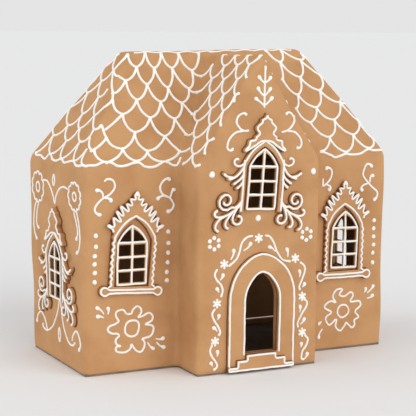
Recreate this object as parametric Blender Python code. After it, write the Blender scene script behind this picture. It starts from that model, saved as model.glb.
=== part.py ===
"""A gingerbread house: walls and roof moulded in one hollow piece, with raised frames
round its windows and door, standing on a thin dark board.

Metres, +Z up. The house is laid out from the front left corner of its main block, with x to
the right, y to the back and z up from the foot of the walls. An empty then brings the middle
of the foot to the origin, and every piece is parented to it.
"""
import math

import bmesh
import bpy
from mathutils import Matrix, Vector

GAP = 0.0003             # left between pieces that touch
WELD = 0.00002           # points closer than this become one

# Main block and its hipped roof
WIDTH = 0.300
DEPTH = 0.128
EAVE = 0.178
TOP = 0.272
HIP_END = 0.0615         # from an end wall in to the flat top
HIP_SIDE = 0.0545        # from the front or back wall in to the flat top
WALL = 0.0055            # thickness of walls and roof
CORNER = 0.0040          # rounding of corners, eaves and hips

# Gabled bay that holds the door
BAY_LEFT = 0.087
BAY_RIGHT = 0.206
BAY_OUT = 0.039
BAY_RUN = 0.058          # how far its roof runs back into the main roof
RIDGE_DROP = 0.0006      # its ridge lies this far below the flat top

# Board under the walls
BOARD_THICK = 0.0020
BOARD_INSET = 0.0016

# Slot at the foot of the back wall
SLOT_HEIGHT = 0.0032
SLOT_LEFT, SLOT_RIGHT = 0.030, 0.270

# Windows: a pointed grille of two columns and four rows of panes
PANES_HALF = 0.0133
PANES_SPRING = 0.0360
PANES_APEX = 0.0505
PANES_BULGE = 0.0016
CROSS_BARS = (0.0118, 0.0236, 0.0356)
BAR = 0.0030
BORDER = 0.0012          # from the grille's outline in to its panes
BORDER_AT_TIP = 1.6      # the same at the pointed top, in borders

# Doorway, its surround and steps
DOOR_MID = 0.1494
DOOR_HALF, DOOR_FOOT, DOOR_SPRING, DOOR_APEX = 0.0152, 0.0148, 0.0660, 0.0830
SURROUND_HALF, SURROUND_SPRING, SURROUND_APEX = 0.0318, 0.0680, 0.1002
SURROUND_THICK = 0.0026
STEP_HALVES = (0.0325, 0.0232, 0.0158)
STEP_TOPS = (0.0036, 0.0086, 0.0142)
STEPS_THICK = 0.0022

# Raised window frames
FRAME_THICK = 0.0034
HOLE_HALF = 0.0164
HOLE_SPRING, HOLE_APEX, HOLE_BULGE = 0.0370, 0.0567, 0.0022
SCROLL_WIDTH = 0.0032
SCROLL_THICK = 0.0030
SCROLL_LIFT = 0.0002     # backs of scrolls and crown above the back of the frame
CROWN_EXTRA = 0.0008     # the stepped crown stands this much further out than its frame
SILL_EXTRA = 0.0004      # and a front window's sill this much
SILL_HALF, SILL_LOW, SILL_HIGH, SILL_KNOB = 0.0250, -0.0094, -0.0046, 0.0045
KNOB_TURN = 125          # degrees that the sill's round ends turn to each side
FRAME_FOOT = -0.0025     # foot of a scroll frame's jambs
FRAME_HALF, FRAME_SPRING, FRAME_APEX, FRAME_BULGE = 0.0205, 0.0385, 0.0598, 0.0028
JAMB_HALF, JAMB_FOOT, JAMB_HEAD = 0.0200, -0.0070, 0.0440
SCALLOP_DEPTH, SCALLOP_PITCH = 0.0007, 0.0055
SCROLL_STEP = 0.00006    # each scroll is this much thinner on both sides than the one before

# The house is hand made, so its lines aren't quite true
RISE, DROP = 0.0050, 0.0022      # roof line rises to the right
BAY_RISE = 0.0024                # and a little more across the bay
BACK_LEAN = 0.0035               # left wall leans out at the back

GINGERBREAD = (0.57, 0.32, 0.15, 1.0)
GINGERBREAD_FRAME = (0.60, 0.35, 0.17, 1.0)
DARK_BOARD = (0.035, 0.030, 0.027, 1.0)


# ---------------------------------------------------------------- outlines, as (u, w) points

def arch_side(foot, apex, bulge, steps):
    """Points from foot to apex along a line that bows outwards by bulge."""
    foot, apex = Vector(foot), Vector(apex)
    along = apex - foot
    out = Vector((along.y, -along.x)).normalized() * bulge
    return [foot + along * t + out * math.sin(math.pi * t) for t in (i / steps for i in range(steps + 1))]


def pointed_arch(half, foot, spring, apex, bulge=None, steps=5):
    """A closed pointed arch. Without a bulge its sides are arcs that leave the jambs upright."""
    if bulge is None:
        rise = apex - spring
        radius = (half ** 2 + rise ** 2) / (2 * half)
        full = math.asin(min(1.0, rise / radius))
        side = [Vector((half - radius + radius * math.cos(full * i / steps),
                        spring + radius * math.sin(full * i / steps))) for i in range(steps + 1)]
    else:
        side = arch_side((half, spring), (0.0, apex), bulge, steps)
    side[-1].x = 0.0
    return mirrored([Vector((half, foot))] + side)


def mirrored(right):
    """Closes a right half outline, given from its foot up, with its mirror image."""
    left = [Vector((-p.x, p.y)) for p in reversed(right) if abs(p.x) > 1e-7]
    return list(right) + left


def smooth(points, steps):
    """A smooth line through points (Catmull-Rom), with steps to each stretch."""
    points = [Vector(p) for p in points]
    ends = [points[0] * 2 - points[1]] + points + [points[-1] * 2 - points[-2]]
    line = []
    for a, b, c, d in zip(ends, ends[1:], ends[2:], ends[3:]):
        for i in range(steps):
            t = i / steps
            line.append(0.5 * (2 * b + (c - a) * t + (2 * a - 5 * b + 4 * c - d) * t ** 2
                               + (3 * b - 3 * c + d - a) * t ** 3))
    return line + [points[-1]]


def spiral(centre, start_angle, turns, outer, inner, count):
    """Points that wind from the outer radius in to the inner one, anticlockwise if turns > 0.

    The start angle is in degrees."""
    centre = Vector(centre)
    line = []
    for i in range(count):
        t = i / (count - 1)
        angle = math.radians(start_angle) + turns * 2 * math.pi * t
        radius = outer + (inner - outer) * t
        line.append(centre + radius * Vector((math.cos(angle), math.sin(angle))))
    return line


def ribbon(line, width, tip=0.8):
    """The outline of a flat strip along a line, blunt at its start and round at its tip."""
    count = len(line)
    right, left = [], []
    for i, point in enumerate(line):
        ahead = line[min(i + 1, count - 1)] - line[max(i - 1, 0)]
        side = Vector((ahead.y, -ahead.x)).normalized()
        half = width / 2 * (1 - (1 - tip) * i / (count - 1))
        right.append(point + side * half)
        left.append(point - side * half)
    end = line[-1] + (line[-1] - line[-2]).normalized() * width * tip * 0.4
    return right + [end] + left[::-1]


# ---------------------------------------------------------------- solids

def new_collection(name):
    collection = bpy.data.collections.new(name)
    bpy.context.scene.collection.children.link(collection)
    return collection


def new_material(name, colour, roughness):
    material = bpy.data.materials.new(name)
    material.use_nodes = True
    shader = material.node_tree.nodes["Principled BSDF"]
    shader.inputs["Base Color"].default_value = colour
    shader.inputs["Roughness"].default_value = roughness
    shader.inputs["Metallic"].default_value = 0.0
    return material


def add_object(name, data, collection):
    obj = bpy.data.objects.new(name, data)
    collection.objects.link(obj)
    return obj


def as_mesh(obj):
    """Turns an object, with its modifiers, into a plain welded mesh of the same name."""
    bpy.context.view_layer.update()
    evaluated = obj.evaluated_get(bpy.context.evaluated_depsgraph_get())
    mesh = bpy.data.meshes.new_from_object(evaluated)
    bm = bmesh.new()
    bm.from_mesh(mesh)
    bmesh.ops.remove_doubles(bm, verts=bm.verts, dist=WELD)
    bmesh.ops.dissolve_limit(bm, angle_limit=math.radians(0.3), verts=bm.verts, edges=bm.edges)
    bmesh.ops.recalc_face_normals(bm, faces=bm.faces)
    bm.to_mesh(mesh)
    bm.free()
    name, place, collection = obj.name, obj.matrix_world.copy(), obj.users_collection[0]
    bpy.data.objects.remove(obj)
    made = add_object(name, mesh, collection)
    made.name = name
    made.matrix_world = place
    return made


def plate(name, outlines, thickness, collection, lift=0.0):
    """A flat plate whose back is at height lift, from closed outlines; inner ones are holes."""
    curve = bpy.data.curves.new(name, "CURVE")
    curve.dimensions = "2D"
    curve.fill_mode = "BOTH"
    curve.extrude = thickness / 2
    for outline in outlines:
        spline = curve.splines.new("POLY")
        spline.points.add(len(outline) - 1)
        for spot, point in zip(spline.points, outline):
            spot.co = (point.x, point.y, 0.0, 1.0)
        spline.use_cyclic_u = True
    obj = add_object(name, curve, collection)
    obj.location.z = lift + thickness / 2
    return as_mesh(obj)


def combine(target, others, operation):
    """Unites the other solids with the target or cuts them out of it, one after another."""
    for other in others:
        step = target.modifiers.new(operation.title(), "BOOLEAN")
        step.operation = operation
        step.solver = "EXACT"
        step.object = other
        target = as_mesh(target)
    return target


def block(x0, x1, y0, y1, z0, z1):
    """A box between two corners, as an open bmesh, with its top face."""
    bm = bmesh.new()
    size = Vector((x1 - x0, y1 - y0, z1 - z0))
    middle = Vector((x0 + x1, y0 + y1, z0 + z1)) / 2
    bmesh.ops.create_cube(bm, size=1.0, matrix=Matrix.Translation(middle) @ Matrix.Diagonal(size).to_4x4())
    top = max(bm.faces, key=lambda face: face.calc_center_median().z)
    return bm, top


def raise_top(bm, top, height, inset_x, inset_y):
    """Builds a sloped block on the top face, drawn in by the insets."""
    middle = top.calc_center_median()
    made = bmesh.ops.extrude_face_region(bm, geom=[top])["geom"]
    if top.is_valid:
        bmesh.ops.delete(bm, geom=[top], context="FACES_ONLY")
    for vert in (v for v in made if isinstance(v, bmesh.types.BMVert)):
        vert.co.x -= math.copysign(inset_x, vert.co.x - middle.x)
        vert.co.y -= math.copysign(inset_y, vert.co.y - middle.y)
        vert.co.z += height
    bmesh.ops.remove_doubles(bm, verts=bm.verts, dist=1e-6)


def finish_block(bm, name, collection, rounding=0.0):
    """Rounds every edge above the foot and makes the object."""
    bmesh.ops.recalc_face_normals(bm, faces=bm.faces)
    if rounding:
        foot = min(v.co.z for v in bm.verts)
        edges = [e for e in bm.edges if max(v.co.z for v in e.verts) > foot + 1e-5]
        bmesh.ops.bevel(bm, geom=edges, offset=rounding, offset_type="OFFSET", segments=2,
                        profile=0.5, affect="EDGES")
    mesh = bpy.data.meshes.new(name)
    bm.to_mesh(mesh)
    bm.free()
    return add_object(name, mesh, collection)


def hipped_block(name, collection, inside=False):
    """The main block with its roof, or the space inside it."""
    wall = WALL if inside else 0.0
    foot = -0.02 if inside else 0.0
    slope_x, slope_y = (TOP - EAVE) / HIP_END, (TOP - EAVE) / HIP_SIDE
    eave = EAVE - wall * (math.hypot(1, slope_y) - slope_y)
    top = TOP - wall
    inset_x = HIP_END - wall * (1 + (1 - math.hypot(1, slope_x)) / slope_x)
    inset_y = HIP_SIDE - wall * (1 + (1 - math.hypot(1, slope_y)) / slope_y)
    bm, lid = block(wall, WIDTH - wall, wall, DEPTH - wall, foot, eave)
    raise_top(bm, lid, top - eave, inset_x, inset_y)
    return finish_block(bm, name, collection, 0.0 if inside else CORNER)


def gabled_block(name, collection, inside=False):
    """The bay with its roof, or the space inside it."""
    wall = WALL if inside else 0.0
    foot = -0.02 if inside else 0.0
    half = (BAY_RIGHT - BAY_LEFT) / 2
    slope = (TOP - RIDGE_DROP - EAVE) / half
    eave = EAVE - wall * (math.hypot(1, slope) - slope)
    ridge = TOP - RIDGE_DROP - wall * math.hypot(1, slope)
    bm, lid = block(BAY_LEFT + wall, BAY_RIGHT - wall, wall - BAY_OUT, BAY_RUN, foot, eave)
    raise_top(bm, lid, ridge - eave, half - wall, 0.0)
    return finish_block(bm, name, collection, 0.0 if inside else CORNER)


# ---------------------------------------------------------------- places on the walls

def wall_frame(corner, right, out):
    """A matrix whose x runs along a wall, y up it and z out of it."""
    right, out = Vector(right), Vector(out)
    frame = Matrix((right, (0, 0, 1), out)).transposed().to_4x4()
    frame.translation = corner
    return frame


FRONT = wall_frame((0, 0, 0), (1, 0, 0), (0, -1, 0))
BAY = wall_frame((0, -BAY_OUT, 0), (1, 0, 0), (0, -1, 0))
LEFT = wall_frame((0, 0, 0), (0, -1, 0), (-1, 0, 0))
RIGHT = wall_frame((WIDTH, 0, 0), (0, 1, 0), (1, 0, 0))

# name: wall, grille, kind of frame, frame; grille and frame each give where the middle of
# the grille's sill comes, along the wall and up it, and the lean to the left in degrees
WINDOWS = {
    "left": (FRONT, (0.0428, 0.0765, 0.0), "crown", (0.0428, 0.0773, -3.0)),
    "right": (FRONT, (0.2546, 0.0745, -1.0), "crown", (0.2545, 0.0741, 0.0)),
    "bay": (BAY, (0.1448, 0.1386, -4.2), "scroll", (0.1450, 0.1382, -3.7)),
    "end_left": (LEFT, (-0.0596, 0.0572, 0.0), "scroll", (-0.0588, 0.0575, 0.0)),
    "end_right": (RIGHT, (0.0735, 0.0600, 0.0), "scroll", (0.0735, 0.0600, 0.0)),
}


def place_on_wall(obj, wall, along, up, lean=0.0, out=0.0):
    turn = Matrix.Rotation(math.radians(lean), 4, "Z")
    obj.matrix_world = wall @ Matrix.Translation((along, up, out)) @ turn @ obj.matrix_world
    return obj


# ---------------------------------------------------------------- house

def pane_outlines():
    """The eight panes of a grille, up from its sill and out from its middle."""
    half = PANES_HALF - BORDER
    near = BAR / 2
    floors = (BORDER,) + tuple(bar + BAR / 2 for bar in CROSS_BARS)
    ceilings = tuple(bar - BAR / 2 for bar in CROSS_BARS)
    outlines = []
    for low, high in zip(floors, ceilings):
        outlines.append([Vector(p) for p in ((near, low), (half, low), (half, high), (near, high))])
    side = arch_side((half, floors[3]), (0.0, PANES_APEX - BORDER_AT_TIP * BORDER), PANES_BULGE, 4)
    lower, upper = side[-2], side[-1]
    cut = lower.lerp(upper, (lower.x - near) / (lower.x - upper.x))
    outlines.append([Vector((near, floors[3]))] + side[:-1] + [cut])
    return outlines + [[Vector((-p.x, p.y)) for p in reversed(outline)] for outline in outlines]


def make_house(parts, cutters):
    house = combine(hipped_block("house_shell", parts), [gabled_block("bay_block", cutters)], "UNION")
    inside = combine(hipped_block("inside", cutters, inside=True),
                     [gabled_block("bay_inside", cutters, inside=True)], "UNION")
    through = 3 * WALL
    openings = [inside]
    for name, (wall, grille, _, _) in WINDOWS.items():
        panes = plate("panes_" + name, pane_outlines(), through, cutters, lift=-2 * WALL)
        openings.append(place_on_wall(panes, wall, *grille))
    doorway = pointed_arch(DOOR_HALF, DOOR_FOOT, DOOR_SPRING, DOOR_APEX)
    openings.append(place_on_wall(plate("doorway", [doorway], through, cutters, lift=-2 * WALL),
                                  BAY, DOOR_MID, 0.0))
    bm, _ = block(SLOT_LEFT, SLOT_RIGHT, DEPTH - 2 * WALL, DEPTH + WALL, -WALL, SLOT_HEIGHT)
    openings.append(finish_block(bm, "back_slot", cutters))
    return combine(house, openings, "DIFFERENCE")


def make_board(parts, cutters):
    """A thin board of the house's own outline, drawn in a little."""
    inset, low, high = BOARD_INSET, -BOARD_THICK - GAP, -GAP
    bm, _ = block(inset, WIDTH - inset, inset, DEPTH - inset, low, high)
    board = finish_block(bm, "base_board", parts)
    bm, _ = block(BAY_LEFT + inset, BAY_RIGHT - inset, inset - BAY_OUT, BAY_RUN, low, high)
    return combine(board, [finish_block(bm, "bay_board", cutters)], "UNION")


# ---------------------------------------------------------------- frames

def crown_half():
    """Right half of the fingered crown over a front window, from the jamb up to its finial.

    Tips and hollows alternate, so the smooth line through them gives the round fingers."""
    tips = ((0.0262, 0.0504), (0.0210, 0.0572), (0.0183, 0.0626), (0.0148, 0.0668), (0.0094, 0.0692),
            (0.0060, 0.0732))
    hollows = ((0.0202, 0.0494), (0.0142, 0.0536), (0.0122, 0.0586), (0.0076, 0.0624), (0.0046, 0.0678),
               (0.0017, 0.0730))
    line = [(0.0206, 0.0440), (0.0214, 0.0464)]
    for tip, hollow in zip(tips, hollows):
        line += [tip, hollow]
    return smooth(line + [(0.0024, 0.0762), (0.0, 0.0786)], 3)


def scalloped_jamb(half, foot, head, depth, pitch):
    """The wavy outer edge of a jamb."""
    count = round((head - foot) / pitch) * 4
    return [Vector((half + depth * math.sin(2 * math.pi * i / 4), foot + (head - foot) * i / count))
            for i in range(count)]


def sill_outline():
    """A flat bar with round ends."""
    middle = (SILL_LOW + SILL_HIGH) / 2
    knob = [Vector((SILL_HALF + SILL_KNOB * math.cos(a), middle + SILL_KNOB * math.sin(a)))
            for a in (math.radians(d) for d in range(-KNOB_TURN, KNOB_TURN + 1, 25))]
    inner = SILL_HALF - SILL_KNOB
    return mirrored([Vector((0.0, SILL_LOW)), Vector((inner, SILL_LOW))] + knob
                    + [Vector((inner, SILL_HIGH)), Vector((0.0, SILL_HIGH))])


def crown_frame(name, parts, cutters):
    """A window surround with scalloped jambs, a fingered crown and a round-ended sill."""
    jamb = scalloped_jamb(JAMB_HALF, JAMB_FOOT, JAMB_HEAD, SCALLOP_DEPTH, SCALLOP_PITCH)
    hole = pointed_arch(HOLE_HALF, -0.0030, HOLE_SPRING, HOLE_APEX, HOLE_BULGE)
    frame = plate(name, [mirrored(jamb + crown_half()), hole], FRAME_THICK, parts)
    sill = plate("sill", [sill_outline()], FRAME_THICK + SILL_EXTRA, cutters)
    return combine(frame, [sill], "UNION")


def scroll_lines():
    """Centre lines of the scrolls on the right of a scroll frame, up from the grille's sill."""
    return [
        # curl at the shoulder
        smooth([(0.0175, 0.0405), (0.0205, 0.0385), (0.0245, 0.0372), (0.0282, 0.0390), (0.0286, 0.0422),
                (0.0262, 0.0436), (0.0246, 0.0424)], 2),
        # branch below it, with its fork
        smooth([(0.0185, 0.0390), (0.0212, 0.0335), (0.0252, 0.0292), (0.0298, 0.0270), (0.0334, 0.0264)], 2),
        smooth([(0.0285, 0.0275), (0.0340, 0.0285), (0.0380, 0.0312)], 2),
        # two leaves
        smooth([(0.0185, 0.0320), (0.0215, 0.0265), (0.0282, 0.0218)], 2),
        smooth([(0.0185, 0.0260), (0.0210, 0.0215), (0.0250, 0.0182)], 2),
        # large volute
        smooth([(0.0185, 0.0095), (0.0212, 0.0045), (0.0262, 0.0012)], 2)[:-1]
        + spiral((0.0338, 0.0078), -140, 1.36, 0.0082, 0.0024, 15),
        # three leaves below it
        smooth([(0.0195, 0.0045), (0.0240, 0.0005), (0.0300, -0.0034), (0.0365, -0.0056), (0.0420, -0.0052),
                (0.0436, -0.0022), (0.0412, 0.0002)], 2),
        smooth([(0.0335, -0.0050), (0.0385, -0.0078), (0.0416, -0.0120), (0.0412, -0.0158),
                (0.0384, -0.0180)], 2),
        smooth([(0.0265, -0.0015), (0.0302, -0.0062), (0.0326, -0.0108), (0.0318, -0.0142),
                (0.0292, -0.0156)], 2),
        # small volute beside the jamb
        smooth([(0.0222, 0.0025), (0.0252, -0.0030)], 2)[:-1]
        + spiral((0.0208, -0.0078), 35, -0.9, 0.0058, 0.0024, 10),
    ]


def pagoda_half():
    """Right half of the stepped crown, from the middle of its foot out to the wing and up."""
    line = [(0.0, 0.0575), (0.0050, 0.0570), (0.0105, 0.0535), (0.0190, 0.0490), (0.0202, 0.0512),
            (0.0172, 0.0542), (0.0166, 0.0566), (0.0158, 0.0592), (0.0112, 0.0600), (0.0104, 0.0622),
            (0.0076, 0.0646), (0.0094, 0.0672), (0.0100, 0.0700), (0.0074, 0.0728), (0.0056, 0.0742),
            (0.0050, 0.0766), (0.0018, 0.0782), (0.0, 0.0810)]
    return smooth(line, 2)


def scroll_frame(name, parts, cutters):
    """A pointed window surround with scrolls down both sides and a stepped crown in front."""
    outer = pointed_arch(FRAME_HALF, FRAME_FOOT, FRAME_SPRING, FRAME_APEX, FRAME_BULGE)
    hole = pointed_arch(HOLE_HALF, FRAME_FOOT, HOLE_SPRING, HOLE_APEX - 0.0030, HOLE_BULGE)
    frame = plate(name, [outer + hole[::-1]], FRAME_THICK, parts)
    pieces = [plate("crown", [mirrored(pagoda_half())], FRAME_THICK + CROWN_EXTRA, cutters, lift=SCROLL_LIFT)]
    for number, line in enumerate(scroll_lines()):
        for side in (1, -1):
            turned = [Vector((side * p.x, p.y)) for p in line]
            step = number * SCROLL_STEP
            pieces.append(plate("scroll", [ribbon(turned, SCROLL_WIDTH)], SCROLL_THICK - 2 * step,
                                cutters, lift=SCROLL_LIFT + step))
    return combine(frame, pieces, "UNION")


def make_frames(parts, cutters):
    kinds = {"crown": crown_frame, "scroll": scroll_frame}
    return [place_on_wall(kinds[kind](kind + "_frame_" + name, parts, cutters), wall, *frame, out=GAP)
            for name, (wall, _, kind, frame) in WINDOWS.items()]


def make_door_surround(parts):
    """A raised slab round the doorway."""
    outer = pointed_arch(SURROUND_HALF, 0.0, SURROUND_SPRING, SURROUND_APEX, steps=8)
    hole = pointed_arch(DOOR_HALF, DOOR_FOOT, DOOR_SPRING, DOOR_APEX)
    surround = plate("door_surround", [outer, hole], SURROUND_THICK, parts)
    return place_on_wall(surround, BAY, DOOR_MID, 0.0, out=GAP)


def make_steps(parts):
    """Three steps in relief, on the foot of the surround."""
    right, low = [], 0.0
    for half, high in zip(STEP_HALVES, STEP_TOPS):
        right += [Vector((half, low)), Vector((half, high))]
        low = high
    steps = plate("door_steps", [mirrored(right)], STEPS_THICK, parts)
    return place_on_wall(steps, BAY, DOOR_MID, 0.0, out=2 * GAP + SURROUND_THICK)


# ---------------------------------------------------------------- hand-made lean

def hand_set(point):
    """Where a point of the true drawing lies on the hand-made house."""
    x, y, z = point
    up = max(0.0, min(z / EAVE, 1.0))
    under_roof = up if z < EAVE else max(0.0, 1 - (z - EAVE) / (TOP - EAVE))
    over = max(0.0, 1 - 2 * x / WIDTH)
    across = min(max((x - BAY_LEFT) / (BAY_RIGHT - BAY_LEFT), 0.0), 1.0)
    forward = min(max(-y / BAY_OUT, 0.0), 1.0)
    return Vector((x - BACK_LEAN * over * under_roof * max(0.0, y / DEPTH), y,
                   z + up * (RISE * x / WIDTH - DROP + BAY_RISE * across * forward)))


def set_by_hand(obj):
    to_house, to_piece = obj.matrix_world, obj.matrix_world.inverted()
    for vert in obj.data.vertices:
        vert.co = to_piece @ hand_set(to_house @ vert.co)


def middle_of_foot(pieces):
    """The middle of the underside of the box that holds all the pieces."""
    points = [piece.matrix_world @ vert.co for piece in pieces for vert in piece.data.vertices]
    low = [min(point[axis] for point in points) for axis in range(3)]
    high = [max(point[axis] for point in points) for axis in range(3)]
    return Vector(((low[0] + high[0]) / 2, (low[1] + high[1]) / 2, low[2]))


def main():
    for obj in list(bpy.data.objects):
        bpy.data.objects.remove(obj)
    parts = new_collection("gingerbread_house")
    cutters = new_collection("cutters")

    house = make_house(parts, cutters)
    frames = make_frames(parts, cutters)
    surround, steps = make_door_surround(parts), make_steps(parts)
    board = make_board(parts, cutters)

    for obj in list(cutters.objects):
        bpy.data.objects.remove(obj)
    bpy.data.collections.remove(cutters)

    pieces = [house, surround, steps] + frames
    for obj in pieces:
        set_by_hand(obj)
    pieces.append(board)

    corner = bpy.data.objects.new("house_corner", None)
    parts.objects.link(corner)
    corner.location = -middle_of_foot(pieces)
    for obj in pieces:
        obj.parent = corner

    finishes = {house: ("gingerbread", GINGERBREAD, 0.85), board: ("dark_board", DARK_BOARD, 0.45)}
    for obj in pieces:
        name, colour, roughness = finishes.get(obj, ("gingerbread_frame", GINGERBREAD_FRAME, 0.85))
        obj.data.materials.clear()
        obj.data.materials.append(new_material(name + "_" + obj.name, colour, roughness))


main()
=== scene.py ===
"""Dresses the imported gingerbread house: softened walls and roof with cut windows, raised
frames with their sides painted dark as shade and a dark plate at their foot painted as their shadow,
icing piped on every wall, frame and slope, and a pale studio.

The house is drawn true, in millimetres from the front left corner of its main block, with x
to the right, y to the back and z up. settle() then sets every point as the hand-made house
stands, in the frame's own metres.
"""
import math

import bmesh
import bpy
import numpy as np
from bpy.props import FloatProperty, FloatVectorProperty, IntProperty, PointerProperty
from bpy.types import Operator, Panel, PropertyGroup
from mathutils import Matrix, Vector
from mathutils.bvhtree import BVHTree


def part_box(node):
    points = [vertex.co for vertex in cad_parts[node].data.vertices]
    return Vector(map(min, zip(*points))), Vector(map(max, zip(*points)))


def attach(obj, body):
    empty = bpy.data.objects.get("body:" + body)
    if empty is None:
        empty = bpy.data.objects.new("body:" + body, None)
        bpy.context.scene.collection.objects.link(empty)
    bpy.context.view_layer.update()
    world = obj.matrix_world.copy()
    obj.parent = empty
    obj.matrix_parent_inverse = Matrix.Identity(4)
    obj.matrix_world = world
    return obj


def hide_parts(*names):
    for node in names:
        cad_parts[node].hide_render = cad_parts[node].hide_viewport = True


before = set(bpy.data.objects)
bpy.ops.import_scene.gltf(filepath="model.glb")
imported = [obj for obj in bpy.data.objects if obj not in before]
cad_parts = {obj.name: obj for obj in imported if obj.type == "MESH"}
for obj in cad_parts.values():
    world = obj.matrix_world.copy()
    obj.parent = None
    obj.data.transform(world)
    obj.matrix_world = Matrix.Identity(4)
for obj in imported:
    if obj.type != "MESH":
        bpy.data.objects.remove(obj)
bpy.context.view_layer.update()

bl_info = {
    "name": "Gingerbread House",
    "version": (1, 0, 0),
    "blender": (4, 5, 0),
    "location": "3D View > Sidebar > Gingerbread",
    "description": "Moulds, ices and lights a gingerbread house round its packed frame",
    "category": "Object",
}

MM = 0.001

# Main block, hipped roof and gabled bay of the drawing
WIDTH, DEPTH, EAVE, TOP = 300.0, 128.0, 178.0, 272.0
HIP_END, HIP_SIDE = 61.5, 54.5
WALL, ROUNDING = 5.5, 4.0
BAY_LEFT, BAY_RIGHT, BAY_OUT, BAY_RUN = 87.0, 206.0, 39.0, 58.0
RIDGE_DROP = 0.6
BOARD_INSET, GAP = 1.6, 0.3
SKIRT = 1.5          # how far the walls reach down past the edge of the board
SLOT_FOOT, SLOT_TOP, SLOT_LEFT, SLOT_RIGHT = 3.9, 5.7, 30.0, 270.0
ROOF_RISE = TOP - EAVE
SLOPE = math.hypot(HIP_SIDE, ROOF_RISE)      # length of the front slope, eave to top
BAY_HALF = (BAY_RIGHT - BAY_LEFT) / 2

# Lean of the hand-made house
RISE, DROP, BAY_RISE, BACK_LEAN = 5.0, 2.2, 2.4, 3.5

# Grilles, frames, doorway
PANES_HALF, PANES_SPRING, PANES_APEX, PANES_BULGE = 13.3, 36.0, 50.5, 1.6
CROSS_BARS = (11.8, 23.6, 35.6)
BAR, BORDER = 2.3, 1.3
PLAQUE_HALF, PLAQUE_FOOT, PLAQUE_APEX, PLAQUE_THICK = 14.2, -0.9, 52.0, 3.0
POCKET_HALF, POCKET_FOOT, POCKET_APEX, LATTICE = 13.2, 0.1, 50.2, 1.1
ROOM_HALF, ROOM_FOOT, ROOM_APEX, ROOM_DEEP = 18.0, -3.0, 55.0, -1.2    # wider behind the wall's face
DOOR_MID, DOOR_FOOT = 148.0, 14.2
# Right halves of the two arches of the doorway, from the spring to the apex
DOOR_ARCH = ((16.0, 56.0), (15.7, 64.0), (13.6, 70.5), (9.9, 76.5), (5.0, 81.4), (0.0, 83.3))
SLAB_ARCH = ((32.2, 58.0), (31.7, 68.0), (28.8, 78.5), (23.2, 87.8), (14.6, 95.2), (6.4, 99.0), (0.0, 100.3))
SURROUND_THICK = 2.6
STEPS_MID = 147.0
STEP_HALVES = (32.0, 23.4, 14.4)
STEP_TOPS = (3.7, 9.2, 13.6)
STEPS_THICK = 2.2
FRAME_THICK = 3.4
HOLE_HALF, HOLE_SPRING, HOLE_APEX, HOLE_BULGE = 16.4, 37.0, 56.7, 2.2
SCROLL_WIDTH, SCROLL_THICK = 3.2, 3.0
FINGER_HALF = 1.1    # half the width of a finger of the crown
SUNK = 0.3          # how far icing is pressed into what it lies on

made = {}        # what one operator leaves for the next


# ---------------------------------------------------------------- settings

class HouseSettings(PropertyGroup):
    """Walls, roof and frames."""
    voxel: FloatProperty(name="Grain of the skin", description="Size of the faces that the walls are made of",
                         default=0.0022, min=0.001, unit="LENGTH", subtype="DISTANCE")
    waver: FloatProperty(name="Waver", description="How far the surface strays from true",
                         default=0.0004, min=0.0, unit="LENGTH", subtype="DISTANCE")
    soft_edge: FloatProperty(name="Soft edge", description="Rounding along the edges of the raised frames",
                             default=0.0005, min=0.0001, unit="LENGTH", subtype="DISTANCE")
    # Reach of the dark plate at the foot of a raised frame, painted as the frame's shadow on the wall round it
    seam: FloatProperty(name="Seam", description="How far the dark seam shows round a raised frame",
                        default=0.0006, min=0.0, unit="LENGTH", subtype="DISTANCE")
    seed: IntProperty(name="Seed", description="Start of the hand's small errors", default=7)


class IcingSettings(PropertyGroup):
    """Piped lines and dots."""
    wall_line: FloatProperty(name="Wall line", description="Width of the lines on the walls",
                             default=0.0020, min=0.0005, unit="LENGTH", subtype="DISTANCE")
    roof_line: FloatProperty(name="Roof line", description="Width of the lines of the scales",
                             default=0.0024, min=0.0005, unit="LENGTH", subtype="DISTANCE")
    frame_line: FloatProperty(name="Frame line", description="Width of the lines on the raised frames",
                              default=0.0019, min=0.0005, unit="LENGTH", subtype="DISTANCE")
    height: FloatProperty(name="Height", description="Height of a line against half its width",
                          default=0.95, min=0.1, max=2.0)
    ring_step: FloatProperty(name="Ring step", description="Distance between the rings of a line",
                             default=0.0013, min=0.0003, unit="LENGTH", subtype="DISTANCE")
    shake: FloatProperty(name="Shake", description="How far the hand strays sideways",
                         default=0.00018, min=0.0, unit="LENGTH", subtype="DISTANCE")


class FinishSettings(PropertyGroup):
    """Colours."""
    gingerbread: FloatVectorProperty(name="Gingerbread", description="Colour of walls, roof and frames",
                                     subtype="COLOR", size=3, min=0, max=1, default=(0.545, 0.297, 0.134))
    baked: FloatVectorProperty(name="Baked patches", description="Colour of the faint darker patches",
                               subtype="COLOR", size=3, min=0, max=1, default=(0.440, 0.220, 0.090))
    # Painted shade: colour given to the sides of raised frames, doorway and grilles, and to the shadow plates at their
    # foot
    scorched: FloatVectorProperty(name="Painted shade on sides", description="Colour of the sides of the raised frames",
                                  subtype="COLOR", size=3, min=0, max=1, default=(0.150, 0.062, 0.025))
    icing: FloatVectorProperty(name="Icing", description="Colour of the piped icing",
                               subtype="COLOR", size=3, min=0, max=1, default=(0.92, 0.91, 0.87))
    board: FloatVectorProperty(name="Board", description="Colour of the thin dark board",
                               subtype="COLOR", size=3, min=0, max=1, default=(0.150, 0.120, 0.092))
    floor: FloatVectorProperty(name="Floor", description="Colour of the studio floor",
                               subtype="COLOR", size=3, min=0, max=1, default=(0.862, 0.865, 0.870))


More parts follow.
